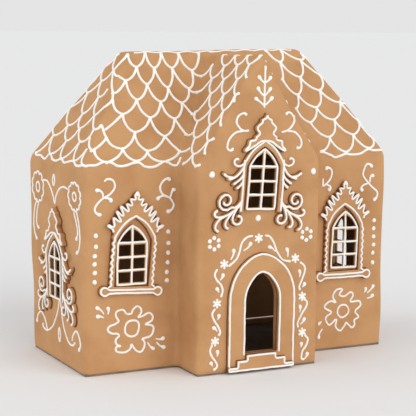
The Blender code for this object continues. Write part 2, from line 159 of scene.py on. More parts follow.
class StudioSettings(PropertyGroup):
    """Camera and light."""
    camera_place: FloatVectorProperty(name="Camera", description="Where the camera stands",
                                      subtype="XYZ", unit="LENGTH", size=3, default=(-0.5802, -1.1278, 0.3023))
    camera_yaw: FloatProperty(name="Yaw", description="Turn of the camera to the right of straight back",
                              default=math.radians(26.73), subtype="ANGLE", unit="ROTATION")
    camera_pitch: FloatProperty(name="Pitch", description="Tilt of the camera, up if positive",
                                default=math.radians(-7.63), subtype="ANGLE", unit="ROTATION")
    camera_roll: FloatProperty(name="Roll", description="Roll of the camera",
                               default=math.radians(0.51), subtype="ANGLE", unit="ROTATION")
    lens: FloatProperty(name="Lens", description="Focal length in millimetres", default=121.76, min=10)
    backdrop: FloatProperty(name="Backdrop", description="Brightness of the backdrop", default=0.783, min=0)
    sky: FloatProperty(name="Sky", description="Strength of the even light from all round", default=0.64, min=0)
    key: FloatProperty(name="Key", description="Strength of the broad light from the front right",
                       default=1.75, min=0)
    fill: FloatProperty(name="Fill", description="Strength of the broad light from the left",
                        default=1.35, min=0)
    key_spread: FloatProperty(name="Key spread", description="How broad that light is",
                              default=math.radians(70), subtype="ANGLE", unit="ROTATION")


# ---------------------------------------------------------------- the drawing and the real house

def frame_corner():
    """The front left corner of the main block, at the foot of the walls, in the frame's millimetres."""
    low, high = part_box("base_board")
    return np.array([low.x / MM - BOARD_INSET, high.y / MM - (DEPTH - BOARD_INSET), high.z / MM + GAP])


def waver(points):
    """Slow waves of a surface smoothed by hand, in millimetres, nothing at the foot."""
    x, y, z = points.T
    amount = bpy.context.scene.house_settings.waver / MM * np.clip(z / 25, 0, 1)
    wave = np.stack([np.sin(0.041 * y + 0.055 * z + 0.4) + 0.6 * np.sin(0.097 * z + 0.031 * x + 2.1),
                     np.sin(0.047 * x + 0.052 * z + 1.3) + 0.6 * np.sin(0.089 * x - 0.064 * z),
                     0.7 * np.sin(0.061 * x + 0.043 * y + 0.7)], axis=1)
    return wave * amount[:, None]


def settle(points):
    """Sets points of the true drawing as the hand-made house stands, in metres."""
    points = np.asarray(points, float).reshape(-1, 3)
    x, y, z = points.T
    up = np.clip(z / EAVE, 0, 1)
    under_roof = np.where(z < EAVE, up, np.maximum(0, 1 - (z - EAVE) / ROOF_RISE))
    over = np.maximum(0, 1 - 2 * x / WIDTH)
    across = np.clip((x - BAY_LEFT) / (BAY_RIGHT - BAY_LEFT), 0, 1)
    forward = np.clip(-y / BAY_OUT, 0, 1)
    stood = np.stack([x - BACK_LEAN * over * under_roof * np.maximum(0, y / DEPTH), y,
                      z + up * (RISE * x / WIDTH - DROP + BAY_RISE * across * forward)], axis=1)
    return (stood + waver(points) + made["corner"]) * MM


def settle_object(obj):
    """Settles an object whose points are in the drawing's millimetres."""
    mesh = obj.data
    co = np.empty(len(mesh.vertices) * 3)
    mesh.vertices.foreach_get("co", co)
    mesh.vertices.foreach_set("co", settle(co).ravel())
    mesh.update()


# ---------------------------------------------------------------- places on walls and slopes

def wall_matrix(corner, right, out):
    """A matrix whose x runs along a wall, y up it and z out of it."""
    matrix = Matrix((right, (0, 0, 1), out)).transposed().to_4x4()
    matrix.translation = corner
    return matrix


FRONT = wall_matrix((0, 0, 0), (1, 0, 0), (0, -1, 0))
BAY = wall_matrix((0, -BAY_OUT, 0), (1, 0, 0), (0, -1, 0))
LEFT = wall_matrix((0, 0, 0), (0, -1, 0), (-1, 0, 0))
RIGHT = wall_matrix((WIDTH, 0, 0), (0, 1, 0), (1, 0, 0))
BACK = wall_matrix((WIDTH, DEPTH, 0), (-1, 0, 0), (0, 1, 0))

# name: wall, kind of frame, and the middle, sill and lean in degrees of its grille and of its frame
WINDOWS = {
    "left": (FRONT, "crown", (42.8, 76.5, 0.0), (42.8, 77.3, -3.0)),
    "right": (FRONT, "crown", (254.6, 74.5, -1.0), (254.5, 74.1, 0.0)),
    "bay": (BAY, "scroll", (144.8, 138.6, -4.2), (145.0, 138.2, -3.7)),
    "end_left": (LEFT, "scroll", (-59.6, 57.2, 0.0), (-58.8, 57.5, 0.0)),
    "end_right": (RIGHT, "scroll", (73.5, 60.0, 0.0), (73.5, 60.0, 0.0)),
}


def on_wall(wall, middle, sill, lean):
    """A matrix from millimetres up from the middle of a sill to the drawing."""
    return wall @ Matrix.Translation((middle, sill, 0)) @ Matrix.Rotation(math.radians(lean), 4, "Z")


def grille_matrix(window):
    wall, _, grille, _ = WINDOWS[window]
    return on_wall(wall, *grille)


def frame_matrix(window):
    wall, _, _, place = WINDOWS[window]
    return on_wall(wall, *place)


def wall_out(matrix):
    """The way out of a wall."""
    return tuple(matrix.to_3x3() @ Vector((0, 0, 1)))


def placed(points, matrix, out=0.0):
    """Flat points (along, up) set on a wall, out from it, in the drawing's millimetres."""
    flat = np.array([(p[0], p[1], out, 1.0) for p in points])
    return (flat @ np.array(matrix.transposed()))[:, :3]


def ring_roof(s, v):
    """A place on the main roof near its front left hip: s along from the hip, to the right on
    the front slope and to the back, if negative, on the end; v up the slope."""
    t = v / SLOPE
    if s >= 0:
        return (s + HIP_END * t, HIP_SIDE * t, EAVE + ROOF_RISE * t)
    return (HIP_END * t, HIP_SIDE * t - s, EAVE + ROOF_RISE * t)


def ring_roof_right(s, v):
    """The same near the front right hip, with s to the left on the front slope."""
    x, y, z = ring_roof(s, v)
    return (WIDTH - x, y, z)


def left_end_roof(y, v):
    t = v / SLOPE
    return (HIP_END * t, y, EAVE + ROOF_RISE * t)


def right_end_roof(y, v):
    x, y, z = left_end_roof(y, v)
    return (WIDTH - x, y, z)


def front_roof(x, v):
    t = v / SLOPE
    return (x, HIP_SIDE * t, EAVE + ROOF_RISE * t)


def back_roof(x, v):
    t = v / SLOPE
    return (x, DEPTH - HIP_SIDE * t, EAVE + ROOF_RISE * t)


def bay_roof_left(u, v):
    """A place on the bay roof's left slope: u back from its front edge, v up."""
    t = v / math.hypot(BAY_HALF, ROOF_RISE)
    return (BAY_LEFT + BAY_HALF * t, u - BAY_OUT, EAVE + ROOF_RISE * t)


def bay_roof_right(u, v):
    x, y, z = bay_roof_left(u, v)
    return (BAY_LEFT + BAY_RIGHT - x, y, z)


# ---------------------------------------------------------------- flat outlines

def arch_side(foot, apex, bulge, steps):
    """Points from foot to apex along a line that bows outwards by bulge."""
    foot, apex = Vector(foot), Vector(apex)
    along = apex - foot
    out = Vector((along.y, -along.x)).normalized() * bulge
    return [foot + along * t + out * math.sin(math.pi * t) for t in (i / steps for i in range(steps + 1))]


def mirrored(right):
    """Closes a right half outline, given from its foot up, with its mirror image."""
    left = [Vector((-p[0], p[1])) for p in reversed(right) if abs(p[0]) > 1e-4]
    return [Vector(p) for p in right] + left


def arch_half(half, foot, spring, apex, bulge=None, steps=8):
    """Right half of a pointed arch. Without a bulge its sides are arcs that leave the jambs upright."""
    if bulge is None:
        rise = apex - spring
        radius = (half ** 2 + rise ** 2) / (2 * half)
        full = math.asin(min(1.0, rise / radius))
        side = [Vector((half - radius + radius * math.cos(full * i / steps),
                        spring + radius * math.sin(full * i / steps))) for i in range(steps + 1)]
    else:
        side = arch_side((half, spring), (0.0, apex), bulge, steps)
    side[-1].x = 0.0
    return [Vector((half, foot))] + side


def pointed_arch(*shape, **options):
    return mirrored(arch_half(*shape, **options))


def drawn_half(arch, foot):
    """Right half of an arch drawn by a few points, on a straight jamb."""
    return [Vector((arch[0][0], foot))] + [Vector(p) for p in smooth_line(arch, steps=5)]


def drawn_arch(arch, foot):
    return mirrored(drawn_half(arch, foot))


def smooth_line(points, closed=False, steps=10):
    """A smooth line through points (Catmull-Rom), as an array."""
    points = np.array([tuple(p) for p in points], float)
    if closed:
        ends = np.vstack([points[-1:], points, points[:2]])
    else:
        ends = np.vstack([2 * points[:1] - points[1:2], points, 2 * points[-1:] - points[-2:-1]])
    t = (np.arange(steps) / steps)[:, None]
    line = [0.5 * (2 * b + (c - a) * t + (2 * a - 5 * b + 4 * c - d) * t ** 2
                   + (3 * b - 3 * c + d - a) * t ** 3)
            for a, b, c, d in zip(ends, ends[1:], ends[2:], ends[3:])]
    return np.vstack(line + [points[:1] if closed else points[-1:]])


def spiral(centre, start_angle, turns, outer, inner, count):
    """Points that wind from the outer radius in to the inner one, anticlockwise if turns > 0."""
    line = []
    for i in range(count):
        t = i / (count - 1)
        angle = math.radians(start_angle) + turns * 2 * math.pi * t
        radius = outer + (inner - outer) * t
        line.append((centre[0] + radius * math.cos(angle), centre[1] + radius * math.sin(angle)))
    return line


def ribbon(line, width, tip=0.8):
    """The outline of a flat strip along a line, with round ends."""
    line = [Vector(p) for p in line]
    count = len(line)
    right, left = [], []
    for i, point in enumerate(line):
        ahead = line[min(i + 1, count - 1)] - line[max(i - 1, 0)]
        side = Vector((ahead.y, -ahead.x)).normalized()
        half = width / 2 * (1 - (1 - tip) * i / (count - 1))
        right.append(point + side * half)
        left.append(point - side * half)
    along = (line[-1] - line[-2]).normalized()
    side = Vector((along.y, -along.x))
    reach = width * tip / 2
    end = [line[-1] + (side * math.cos(a) + along * math.sin(a)) * reach
           for a in (math.radians(45), math.radians(90), math.radians(135))]
    return right + end + left[::-1]


def rounded(corners, radius, steps=3):
    """An outline with its corners rounded."""
    corners = [Vector(c) for c in corners]
    line = []
    for before, corner, after in zip(corners[-1:] + corners[:-1], corners, corners[1:] + corners[:1]):
        back, on = before - corner, after - corner
        reach = min(radius, back.length * 0.4, on.length * 0.4)
        start, end = corner + back.normalized() * reach, corner + on.normalized() * reach
        for i in range(steps + 1):
            t = i / steps
            line.append(start * (1 - t) ** 2 + corner * 2 * t * (1 - t) + end * t ** 2)
    return line


# ---------------------------------------------------------------- solids

def add_object(name, mesh):
    obj = bpy.data.objects.new(name, mesh)
    bpy.context.scene.collection.objects.link(obj)
    return obj


def remove(obj):
    bpy.data.objects.remove(obj)


def as_mesh(obj, weld=0.004):
    """Turns an object, with its modifiers, into a plain welded mesh of the same name."""
    bpy.context.view_layer.update()
    mesh = bpy.data.meshes.new_from_object(obj.evaluated_get(bpy.context.evaluated_depsgraph_get()))
    if weld:
        bm = bmesh.new()
        bm.from_mesh(mesh)
        bmesh.ops.remove_doubles(bm, verts=bm.verts, dist=weld)
        bmesh.ops.dissolve_degenerate(bm, edges=bm.edges, dist=weld)
        bmesh.ops.recalc_face_normals(bm, faces=bm.faces)
        bm.to_mesh(mesh)
        bm.free()
    name, place = obj.name, obj.matrix_world.copy()
    remove(obj)
    result = add_object(name, mesh)
    result.matrix_world = place
    return result


def plate(name, outlines, matrix, low, high, soft=0.0, grow=0.0):
    """A flat plate on a wall, from height low to high out of it, with softened edges."""
    curve = bpy.data.curves.new(name, "CURVE")
    curve.dimensions = "2D"
    curve.fill_mode = "BOTH"
    curve.extrude = (high - low) / 2 - soft
    curve.bevel_depth = soft
    curve.bevel_resolution = 1
    curve.offset = grow - soft
    for outline in outlines:
        spline = curve.splines.new("POLY")
        spline.points.add(len(outline) - 1)
        for spot, point in zip(spline.points, outline):
            spot.co = (point[0], point[1], 0.0, 1.0)
        spline.use_cyclic_u = True
    obj = add_object(name, curve)
    obj.matrix_world = matrix @ Matrix.Translation((0, 0, (low + high) / 2))
    obj = as_mesh(obj)
    obj.data.transform(obj.matrix_world)
    obj.matrix_world = Matrix.Identity(4)
    return obj


def combine(target, other, operation, solver="MANIFOLD"):
    """Unites another solid with the target or cuts it out."""
    step = target.modifiers.new(operation.title(), "BOOLEAN")
    step.operation = operation
    step.solver = solver
    step.object = other
    target = as_mesh(target, weld=0.0)
    remove(other)
    return target


def merged(objects):
    """Several solids that don't touch, as one object."""
    bm = bmesh.new()
    for obj in objects:
        bm.from_mesh(obj.data)
    mesh = bpy.data.meshes.new(objects[0].name)
    bm.to_mesh(mesh)
    bm.free()
    for obj in objects:
        remove(obj)
    return add_object(mesh.name, mesh)


def sloped_block(name, low, high, rise, inset_x, inset_y, rounding=0.0):
    """A box from corner low to high with a roof on it, drawn in by the insets."""
    bm = bmesh.new()
    low, high = Vector(low), Vector(high)
    bmesh.ops.create_cube(bm, size=1.0, matrix=Matrix.Translation((low + high) / 2)
                          @ Matrix.Diagonal(high - low).to_4x4())
    top = max(bm.faces, key=lambda face: face.calc_center_median().z)
    middle = top.calc_center_median()
    raised = bmesh.ops.extrude_face_region(bm, geom=[top])["geom"]
    if top.is_valid:
        bmesh.ops.delete(bm, geom=[top], context="FACES_ONLY")
    for vert in (v for v in raised if isinstance(v, bmesh.types.BMVert)):
        vert.co.x -= math.copysign(inset_x, vert.co.x - middle.x)
        vert.co.y -= math.copysign(inset_y, vert.co.y - middle.y)
        vert.co.z += rise
    bmesh.ops.remove_doubles(bm, verts=bm.verts, dist=0.001)
    bmesh.ops.recalc_face_normals(bm, faces=bm.faces)
    if rounding:
        edges = [e for e in bm.edges if max(v.co.z for v in e.verts) > low.z + 0.01]
        bmesh.ops.bevel(bm, geom=edges, offset=rounding, offset_type="OFFSET", segments=4,
                        profile=0.5, affect="EDGES")
    mesh = bpy.data.meshes.new(name)
    bm.to_mesh(mesh)
    bm.free()
    return add_object(name, mesh)


def house_block(name, inside=False):
    """Main block and bay with their roofs, as one solid, or the space inside them."""
    wall = WALL if inside else 0.0
    foot = -20.0 if inside else -SKIRT
    rounding = 0.0 if inside else ROUNDING
    end, side, gable = ROOF_RISE / HIP_END, ROOF_RISE / HIP_SIDE, (ROOF_RISE - RIDGE_DROP) / BAY_HALF
    eave = EAVE - wall * (math.hypot(1, side) - side)
    inset_x = HIP_END - wall * (1 + (1 - math.hypot(1, end)) / end)
    inset_y = HIP_SIDE - wall * (1 + (1 - math.hypot(1, side)) / side)
    main = sloped_block(name, (wall, wall, foot), (WIDTH - wall, DEPTH - wall, eave),
                        TOP - wall - eave, inset_x, inset_y, rounding)
    bay_eave = EAVE - wall * (math.hypot(1, gable) - gable)
    ridge = TOP - RIDGE_DROP - wall * math.hypot(1, gable)
    bay = sloped_block("bay", (BAY_LEFT + wall, wall - BAY_OUT, foot), (BAY_RIGHT - wall, BAY_RUN, bay_eave),
                       ridge - bay_eave, BAY_HALF - wall, 0.0, rounding)
    return combine(main, bay, "UNION")


def smooth_skin(obj, voxel):
    """Remeshes a solid into even faces and softens it."""
    obj.data.remesh_voxel_size = voxel
    remesh = obj.modifiers.new("Remesh", "REMESH")
    remesh.mode = "VOXEL"
    remesh.voxel_size = voxel
    soften = obj.modifiers.new("Soften", "SMOOTH")
    soften.factor = 0.5
    soften.iterations = 5
    return as_mesh(obj, weld=0.0)


def tree_of(obj):
    mesh = obj.data
    return BVHTree.FromPolygons([v.co.copy() for v in mesh.vertices], [tuple(p.vertices) for p in mesh.polygons])


def dress(obj, materials, slot, *nodes):
    """Gives a finished piece its materials, place in the frame and the nodes it stands for."""
    obj.data.materials.clear()
    for material in materials:
        obj.data.materials.append(material)
    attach(obj, "root")
    if nodes:
        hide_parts(*nodes)
    return obj


def darken_sides(obj, out):
    """Gives the second material, a painted shade, to the faces that don't look out from the wall."""
    out = Vector(out)
    for face in obj.data.polygons:
        face.material_index = 1 if face.normal.dot(out) < 0.45 else 0


# ---------------------------------------------------------------- piping

class Piping:
    """Collects beads and dots of icing for one piece."""

    def __init__(self, name, seed, skin=None):
        self.name, self.skin = name, skin
        self.random = np.random.default_rng(seed)
        self.points, self.faces, self.count = [], [], 0
        self.settings = bpy.context.scene.icing_settings

    def lay(self, line, out):
        """Settles a line and lays it on the skin; gives its places and the way out at each."""
        places = settle(line)
        outs = np.tile(np.asarray(out, float), (len(places), 1))
        if self.skin is not None:
            for i, place in enumerate(places):
                spot, normal, _, _ = self.skin.find_nearest(Vector(place))
                places[i], outs[i] = spot, normal
            if len(outs) > 4:
                kernel = np.ones(5) / 5
                padded = np.vstack([outs[:1]] * 2 + [outs] + [outs[-1:]] * 2)
                outs = np.stack([np.convolve(padded[:, k], kernel, "valid") for k in range(3)], axis=1)
            outs /= np.linalg.norm(outs, axis=1)[:, None]
        return places, outs

    def slow_noise(self, places, pitch):
        """Random numbers between -1 and 1 that change slowly along a line."""
        knots = self.random.uniform(-1, 1, int(places[-1] / pitch) + 3)
        return np.interp(places, np.arange(len(knots)) * pitch, knots)

    def bead(self, line, width, out=(0, 0, 1), start=1.0, end=1.0, tail=1.0, closed=False):
        """A bead along a line in the drawing's millimetres. Start and end are the sizes of its
        round ends against its width; tail is its last width against its first."""
        line = np.asarray([tuple(p) for p in line], float)
        if closed:
            line = np.vstack([line, line[:1]])
        half = width / MM / 2
        along = np.concatenate([[0], np.cumsum(np.linalg.norm(np.diff(line, axis=0), axis=1))])
        total = along[-1]
        step = self.settings.ring_step / MM
        if closed:
            places = np.linspace(0, total, max(6, int(total / step)) + 1)[:-1]
            fat = np.full(len(places), half)
        else:
            first, last = min(half * start, total / 3), min(half * end * tail, total / 3)
            tip = np.array([0.0, 0.1, 0.32, 0.62])
            places = np.concatenate([tip * first,
                                     np.linspace(first, total - last, max(2, int(total / step)) + 1),
                                     total - last * tip[::-1]])
            fat = half * (1 + (tail - 1) * places / total)
            for size, reach, gone in ((start, first, places), (end, last, total - places)):
                beyond = np.maximum(0, gone - reach) / (0.9 * reach)
                fat = fat + half * (size - 1) * np.exp(-beyond ** 2)
            for reach, gone in ((first, places), (last, total - places)):
                short = np.maximum(0, reach - gone) / reach
                fat = fat * np.sqrt(np.clip(1 - short ** 2, 0.03, 1))
        fat = fat * (1 + 0.09 * self.slow_noise(places, 3.0)) * MM
        spots = np.stack([np.interp(places, along, line[:, k]) for k in range(3)], axis=1)
        spots, outs = self.lay(spots, out)
        if closed:
            ahead = np.roll(spots, -1, axis=0) - np.roll(spots, 1, axis=0)
        else:
            ahead = np.gradient(spots, axis=0)
        side = np.cross(ahead, outs)
        side /= np.maximum(np.linalg.norm(side, axis=1), 1e-12)[:, None]
        shake = self.settings.shake * self.slow_noise(places, 5.0)
        shake = shake * np.clip(np.minimum(places, total - places) / 3, 0, 1)
        spots = spots + side * shake[:, None]
        height = self.settings.height * fat ** 0.6 * (width / 2) ** 0.4
        turn = np.arange(8) * math.pi / 4
        rise = np.sin(turn)
        above = np.maximum(rise, 0)[None, :, None] * height[:, None, None]
        below = np.minimum(rise, 0)[None, :, None] * SUNK * MM
        rings = (spots[:, None, :] + side[:, None, :] * (np.cos(turn)[None, :, None] * fat[:, None, None])
                 + outs[:, None, :] * (above + below))
        self.skin_rings(rings, spots, closed)

    def flat_bead(self, points, matrix, width, out=0.0, **shape):
        """A bead through flat points on a wall, raised out from it."""
        self.bead(placed(points, matrix, out), width, wall_out(matrix), **shape)

    def stroke(self, points, matrix, width, closed=False, **shape):
        """A smooth stroke through a few flat points on a wall."""
        line = smooth_line(points, closed, steps=8)
        self.flat_bead(line[:-1] if closed else line, matrix, width, closed=closed, **shape)

    def dab(self, point, matrix, diameter):
        """A dab at a flat point on a wall."""
        self.dot(placed([point], matrix)[0], diameter, wall_out(matrix))

    def skin_rings(self, rings, spots, closed):
        count, sides = rings.shape[:2]
        base = self.count
        self.points.append(rings.reshape(-1, 3))
        self.count += count * sides
        index = base + np.arange(count * sides).reshape(count, sides)
        following = np.roll(index, -1, axis=0) if closed else index[1:]
        here = index if closed else index[:-1]
        quads = np.stack([here, np.roll(here, -1, axis=1), np.roll(following, -1, axis=1), following], axis=-1)
        self.faces += quads.reshape(-1, 4).tolist()
        if not closed:
            for ring, spot, turned in ((index[0], spots[0], True), (index[-1], spots[-1], False)):
                self.points.append(spot[None, :])
                loop = ring[::-1] if turned else ring
                self.faces += [[a, b, self.count] for a, b in zip(loop, np.roll(loop, -1))]
                self.count += 1

    def dot(self, spot, diameter, out=(0, 0, 1), height=0.55):
        """A round dab of icing."""
        spots, outs = self.lay([spot], out)
        out = outs[0]
        radius = diameter * MM / 2
        across = np.cross(out, (0.3, 0.2, 1.0) if abs(out[2]) < 0.9 else (1.0, 0.0, 0.0))
        across /= np.linalg.norm(across)
        up = np.cross(out, across)
        turn = np.arange(14) * 2 * math.pi / 14
        swell = 1 + 0.05 * np.sin(turn * 2 + self.random.uniform(0, 6)) + 0.03 * np.sin(turn * 3)
        circle = (np.cos(turn)[:, None] * across + np.sin(turn)[:, None] * up) * swell[:, None]
        rings = [spots[0] + circle * radius * 0.9 - out * 0.0003]
        for rise in (0.0, 24.0, 46.0, 68.0):
            angle = math.radians(rise)
            rings.append(spots[0] + circle * radius * math.cos(angle) + out * radius * height * math.sin(angle))
        rings = np.array(rings)
        ends = np.array([rings[0].mean(axis=0), spots[0] + out * radius * height])
        self.skin_rings(rings, ends, False)

    def finish(self, material, *nodes):
        mesh = bpy.data.meshes.new(self.name)
        mesh.from_pydata(np.vstack(self.points).tolist(), [], self.faces)
        mesh.update()
        bm = bmesh.new()
        bm.from_mesh(mesh)
        bmesh.ops.recalc_face_normals(bm, faces=bm.faces)
        bm.to_mesh(mesh)
        bm.free()
        mesh.shade_smooth()
        return dress(add_object(self.name, mesh), [material], "icing", *nodes)


# ---------------------------------------------------------------- materials

class Nodes:
    """A small helper to wire a material."""

    def __init__(self, name):
        self.material = bpy.data.materials.new(name)
        self.material.use_nodes = True
        self.tree = self.material.node_tree
        self.shader = self.tree.nodes["Principled BSDF"]
        self.place = self.tree.nodes.new("ShaderNodeTexCoord").outputs["Object"]

    def noise(self, scale, detail=2.0, roughness=0.5):
        node = self.tree.nodes.new("ShaderNodeTexNoise")
        node.inputs["Scale"].default_value = scale
        node.inputs["Detail"].default_value = detail
        node.inputs["Roughness"].default_value = roughness
        self.tree.links.new(self.place, node.inputs["Vector"])
        return node.outputs["Fac"]

    def ramp(self, value, low, high, start=0.0, end=1.0):
        node = self.tree.nodes.new("ShaderNodeMapRange")
        node.inputs["From Min"].default_value = low
        node.inputs["From Max"].default_value = high
        node.inputs["To Min"].default_value = start
        node.inputs["To Max"].default_value = end
        self.tree.links.new(value, node.inputs["Value"])
        return node.outputs["Result"]

    def mix(self, factor, first, second):
        node = self.tree.nodes.new("ShaderNodeMix")
        node.data_type = "RGBA"
        sockets = {s.identifier: s for s in node.inputs}
        for key, value in (("Factor_Float", factor), ("A_Color", first), ("B_Color", second)):
            if isinstance(value, bpy.types.NodeSocket):
                self.tree.links.new(value, sockets[key])
            elif key == "Factor_Float":
                sockets[key].default_value = value
            else:
                sockets[key].default_value = (*value, 1.0)
        return {s.identifier: s for s in node.outputs}["Result_Color"]

    def bump(self, heights):
        """Stacks bumps given as (height socket, distance in metres)."""
        normal = None
        for height, distance in heights:
            node = self.tree.nodes.new("ShaderNodeBump")
            node.inputs["Distance"].default_value = distance
            self.tree.links.new(height, node.inputs["Height"])
            if normal is not None:
                self.tree.links.new(normal, node.inputs["Normal"])
            normal = node.outputs["Normal"]
        self.tree.links.new(normal, self.shader.inputs["Normal"])

    def link(self, socket, name):
        self.tree.links.new(socket, self.shader.inputs[name])


def gingerbread_finish(name, colour, patches):
    """Fine-grained biscuit with faint baked patches."""
    m = Nodes(name)
    broad = m.ramp(m.noise(26, 3.0, 0.55), 0.42, 0.72)
    grain = m.ramp(m.noise(900, 3.0, 0.6), 0.30, 0.70)
    flecks = m.ramp(m.noise(260, 2.0, 0.5), 0.66, 0.78)
    base = m.mix(broad, colour, patches)
    pale = tuple(min(1.0, c * 1.05) for c in colour)
    base = m.mix(m.ramp(grain, 0, 1, 0.0, 0.35), base, pale)
    base = m.mix(m.ramp(flecks, 0, 1, 0.0, 0.35), base, patches)
    m.link(base, "Base Color")
    m.link(m.ramp(grain, 0, 1, 0.78, 0.92), "Roughness")
    m.shader.inputs["Specular IOR Level"].default_value = 0.25
    m.bump([(m.noise(70, 2.0, 0.5), 0.0006), (m.noise(900, 3.0, 0.6), 0.00012)])
    return m.material


def painted_shade_finish(name, colour):
    """Painted shade: the near-black colour given to the sides of raised pieces and to the dark plates painted as their
    shadow.
    """
    m = Nodes(name)
    pale = tuple(min(1.0, c * 1.9) for c in colour)
    m.link(m.mix(m.ramp(m.noise(180, 3.0, 0.6), 0.35, 0.75), colour, pale), "Base Color")
    m.shader.inputs["Roughness"].default_value = 0.85
    m.shader.inputs["Specular IOR Level"].default_value = 0.2
    m.bump([(m.noise(500, 3.0, 0.6), 0.00015)])
    return m.material


def icing_finish(name, colour):
    """Set icing, faintly uneven, with a soft sheen."""
    m = Nodes(name)
    warm = (colour[0] * 0.96, colour[1] * 0.945, colour[2] * 0.90)
    m.link(m.mix(m.ramp(m.noise(220, 2.0, 0.5), 0.45, 0.75), colour, warm), "Base Color")
    m.shader.inputs["Roughness"].default_value = 0.45
    m.shader.inputs["Specular IOR Level"].default_value = 0.35
    m.bump([(m.noise(700, 2.0, 0.5), 0.00006)])
    return m.material


def board_finish(name, colour):
    """Smooth dark board."""
    m = Nodes(name)
    pale = tuple(min(1.0, c * 1.8) for c in colour)
    m.link(m.mix(m.ramp(m.noise(60, 4.0, 0.6), 0.35, 0.7), colour, pale), "Base Color")
    m.link(m.ramp(m.noise(140, 2.0, 0.5), 0.3, 0.7, 0.35, 0.5), "Roughness")
    m.shader.inputs["Specular IOR Level"].default_value = 0.3
    m.bump([(m.noise(45, 2.0, 0.5), 0.0004)])
    return m.material


def floor_finish(name, colour):
    m = Nodes(name)
    pale = tuple(min(1.0, c * 1.004) for c in colour)
    m.link(m.mix(m.noise(3, 1.0, 0.5), colour, pale), "Base Color")
    m.shader.inputs["Roughness"].default_value = 0.9
    m.shader.inputs["Specular IOR Level"].default_value = 0.0
    return m.material


# ---------------------------------------------------------------- walls and roof

def pane_outlines(random):
    """The eight panes of a grille, up from its sill and out from its middle, a little uneven."""
    half = PANES_HALF - BORDER
    near = BAR / 2
    floors = (BORDER,) + tuple(bar + BAR / 2 for bar in CROSS_BARS)
    ceilings = tuple(bar - BAR / 2 for bar in CROSS_BARS)
    side = arch_side((half, floors[3]), (0.0, PANES_APEX - 1.6 * BORDER), PANES_BULGE, 6)
    lower, upper = side[-2], side[-1]
    cut = lower.lerp(upper, (lower.x - near) / (lower.x - upper.x))
    shapes = [[Vector(p) for p in ((near, low), (half, low), (half, high), (near, high))]
              for low, high in zip(floors, ceilings)]
    shapes.append([Vector((near, floors[3]))] + side[:-1] + [cut])
    outlines = []
    for mirror in (1, -1):
        for shape in shapes:
            shake = [Vector((mirror * (p.x + random.uniform(-0.25, 0.25)), p.y + random.uniform(-0.25, 0.25)))
                     for p in shape]
            outlines.append(rounded(shake if mirror > 0 else shake[::-1], 0.9))
    return outlines


def wall_cutters(random):
    """What is cut through walls and grilles: the panes, the doorway and the slot at the back."""
    low, high = -2.5 * WALL, 0.8 * WALL
    cutters = [plate("pane", [outline], grille_matrix(window), low, high)
               for window in WINDOWS for outline in pane_outlines(random)]
    doorway = drawn_arch(DOOR_ARCH, DOOR_FOOT)
    cutters.append(plate("doorway", [doorway], BAY @ Matrix.Translation((DOOR_MID, 0, 0)), low, high))
    slot = [Vector(p) for p in ((WIDTH - SLOT_RIGHT, SLOT_FOOT), (WIDTH - SLOT_LEFT, SLOT_FOOT),
                                (WIDTH - SLOT_LEFT, SLOT_TOP), (WIDTH - SLOT_RIGHT, SLOT_TOP))]
    cutters.append(plate("slot", [slot], BACK, low, high))
    return merged(cutters)


def arch_plates(name, half, foot, apex, low, high):
    """One pointed plate at each grille."""
    outline = pointed_arch(half, foot, PANES_SPRING, apex, PANES_BULGE)
    plates = merged([plate(name, [outline], grille_matrix(window), low, high) for window in WINDOWS])
    settle_object(plates)
    return plates


def make_walls(settings, materials):
    """Walls and roof in one moulded piece, with raised grilles, and panes, doorway and slot cut."""
    random = np.random.default_rng(settings.seed)
    skin = smooth_skin(house_block("house_walls"), settings.voxel / MM)
    settle_object(skin)
    made["skin"] = tree_of(skin)
    inside = house_block("inside", inside=True)
    settle_object(inside)
    walls = combine(skin, inside, "DIFFERENCE")
    plaques = arch_plates("plaque", PLAQUE_HALF, PLAQUE_FOOT, PLAQUE_APEX, -2.0, PLAQUE_THICK)
    walls = combine(walls, plaques, "UNION")
    pockets = arch_plates("pocket", POCKET_HALF, POCKET_FOOT, POCKET_APEX, -2 * WALL, PLAQUE_THICK - LATTICE)
    walls = combine(walls, pockets, "DIFFERENCE")
    rooms = arch_plates("room", ROOM_HALF, ROOM_FOOT, ROOM_APEX, -2 * WALL, ROOM_DEEP)
    walls = combine(walls, rooms, "DIFFERENCE")
    openings = wall_cutters(random)
    settle_object(openings)
    walls = combine(walls, openings, "DIFFERENCE")
    walls.data.shade_smooth()
    walls.data.set_sharp_from_angle(angle=math.radians(35))
    darken_grille_sides(walls)
    return dress(walls, [materials["gingerbread"], materials["scorched"]], "gingerbread", "house_shell")


def darken_grille_sides(walls):
    """Gives the second material, a painted shade, to whatever stands out from a wall by a grille and looks sideways.
    """
    for face in walls.data.polygons:
        face.material_index = 0
    for window, (wall, _, _, _) in WINDOWS.items():
        out = Vector(wall_out(wall))
        middle = Vector(settle(placed([(0.0, PANES_APEX / 2)], grille_matrix(window)))[0])
        for face in walls.data.polygons:
            away = face.center - middle
            height = away.dot(out)
            if 0.0004 < height < 0.0035 and (away - out * height).length < 0.040 and abs(face.normal.dot(out)) < 0.6:
                face.material_index = 1


# ---------------------------------------------------------------- raised frames

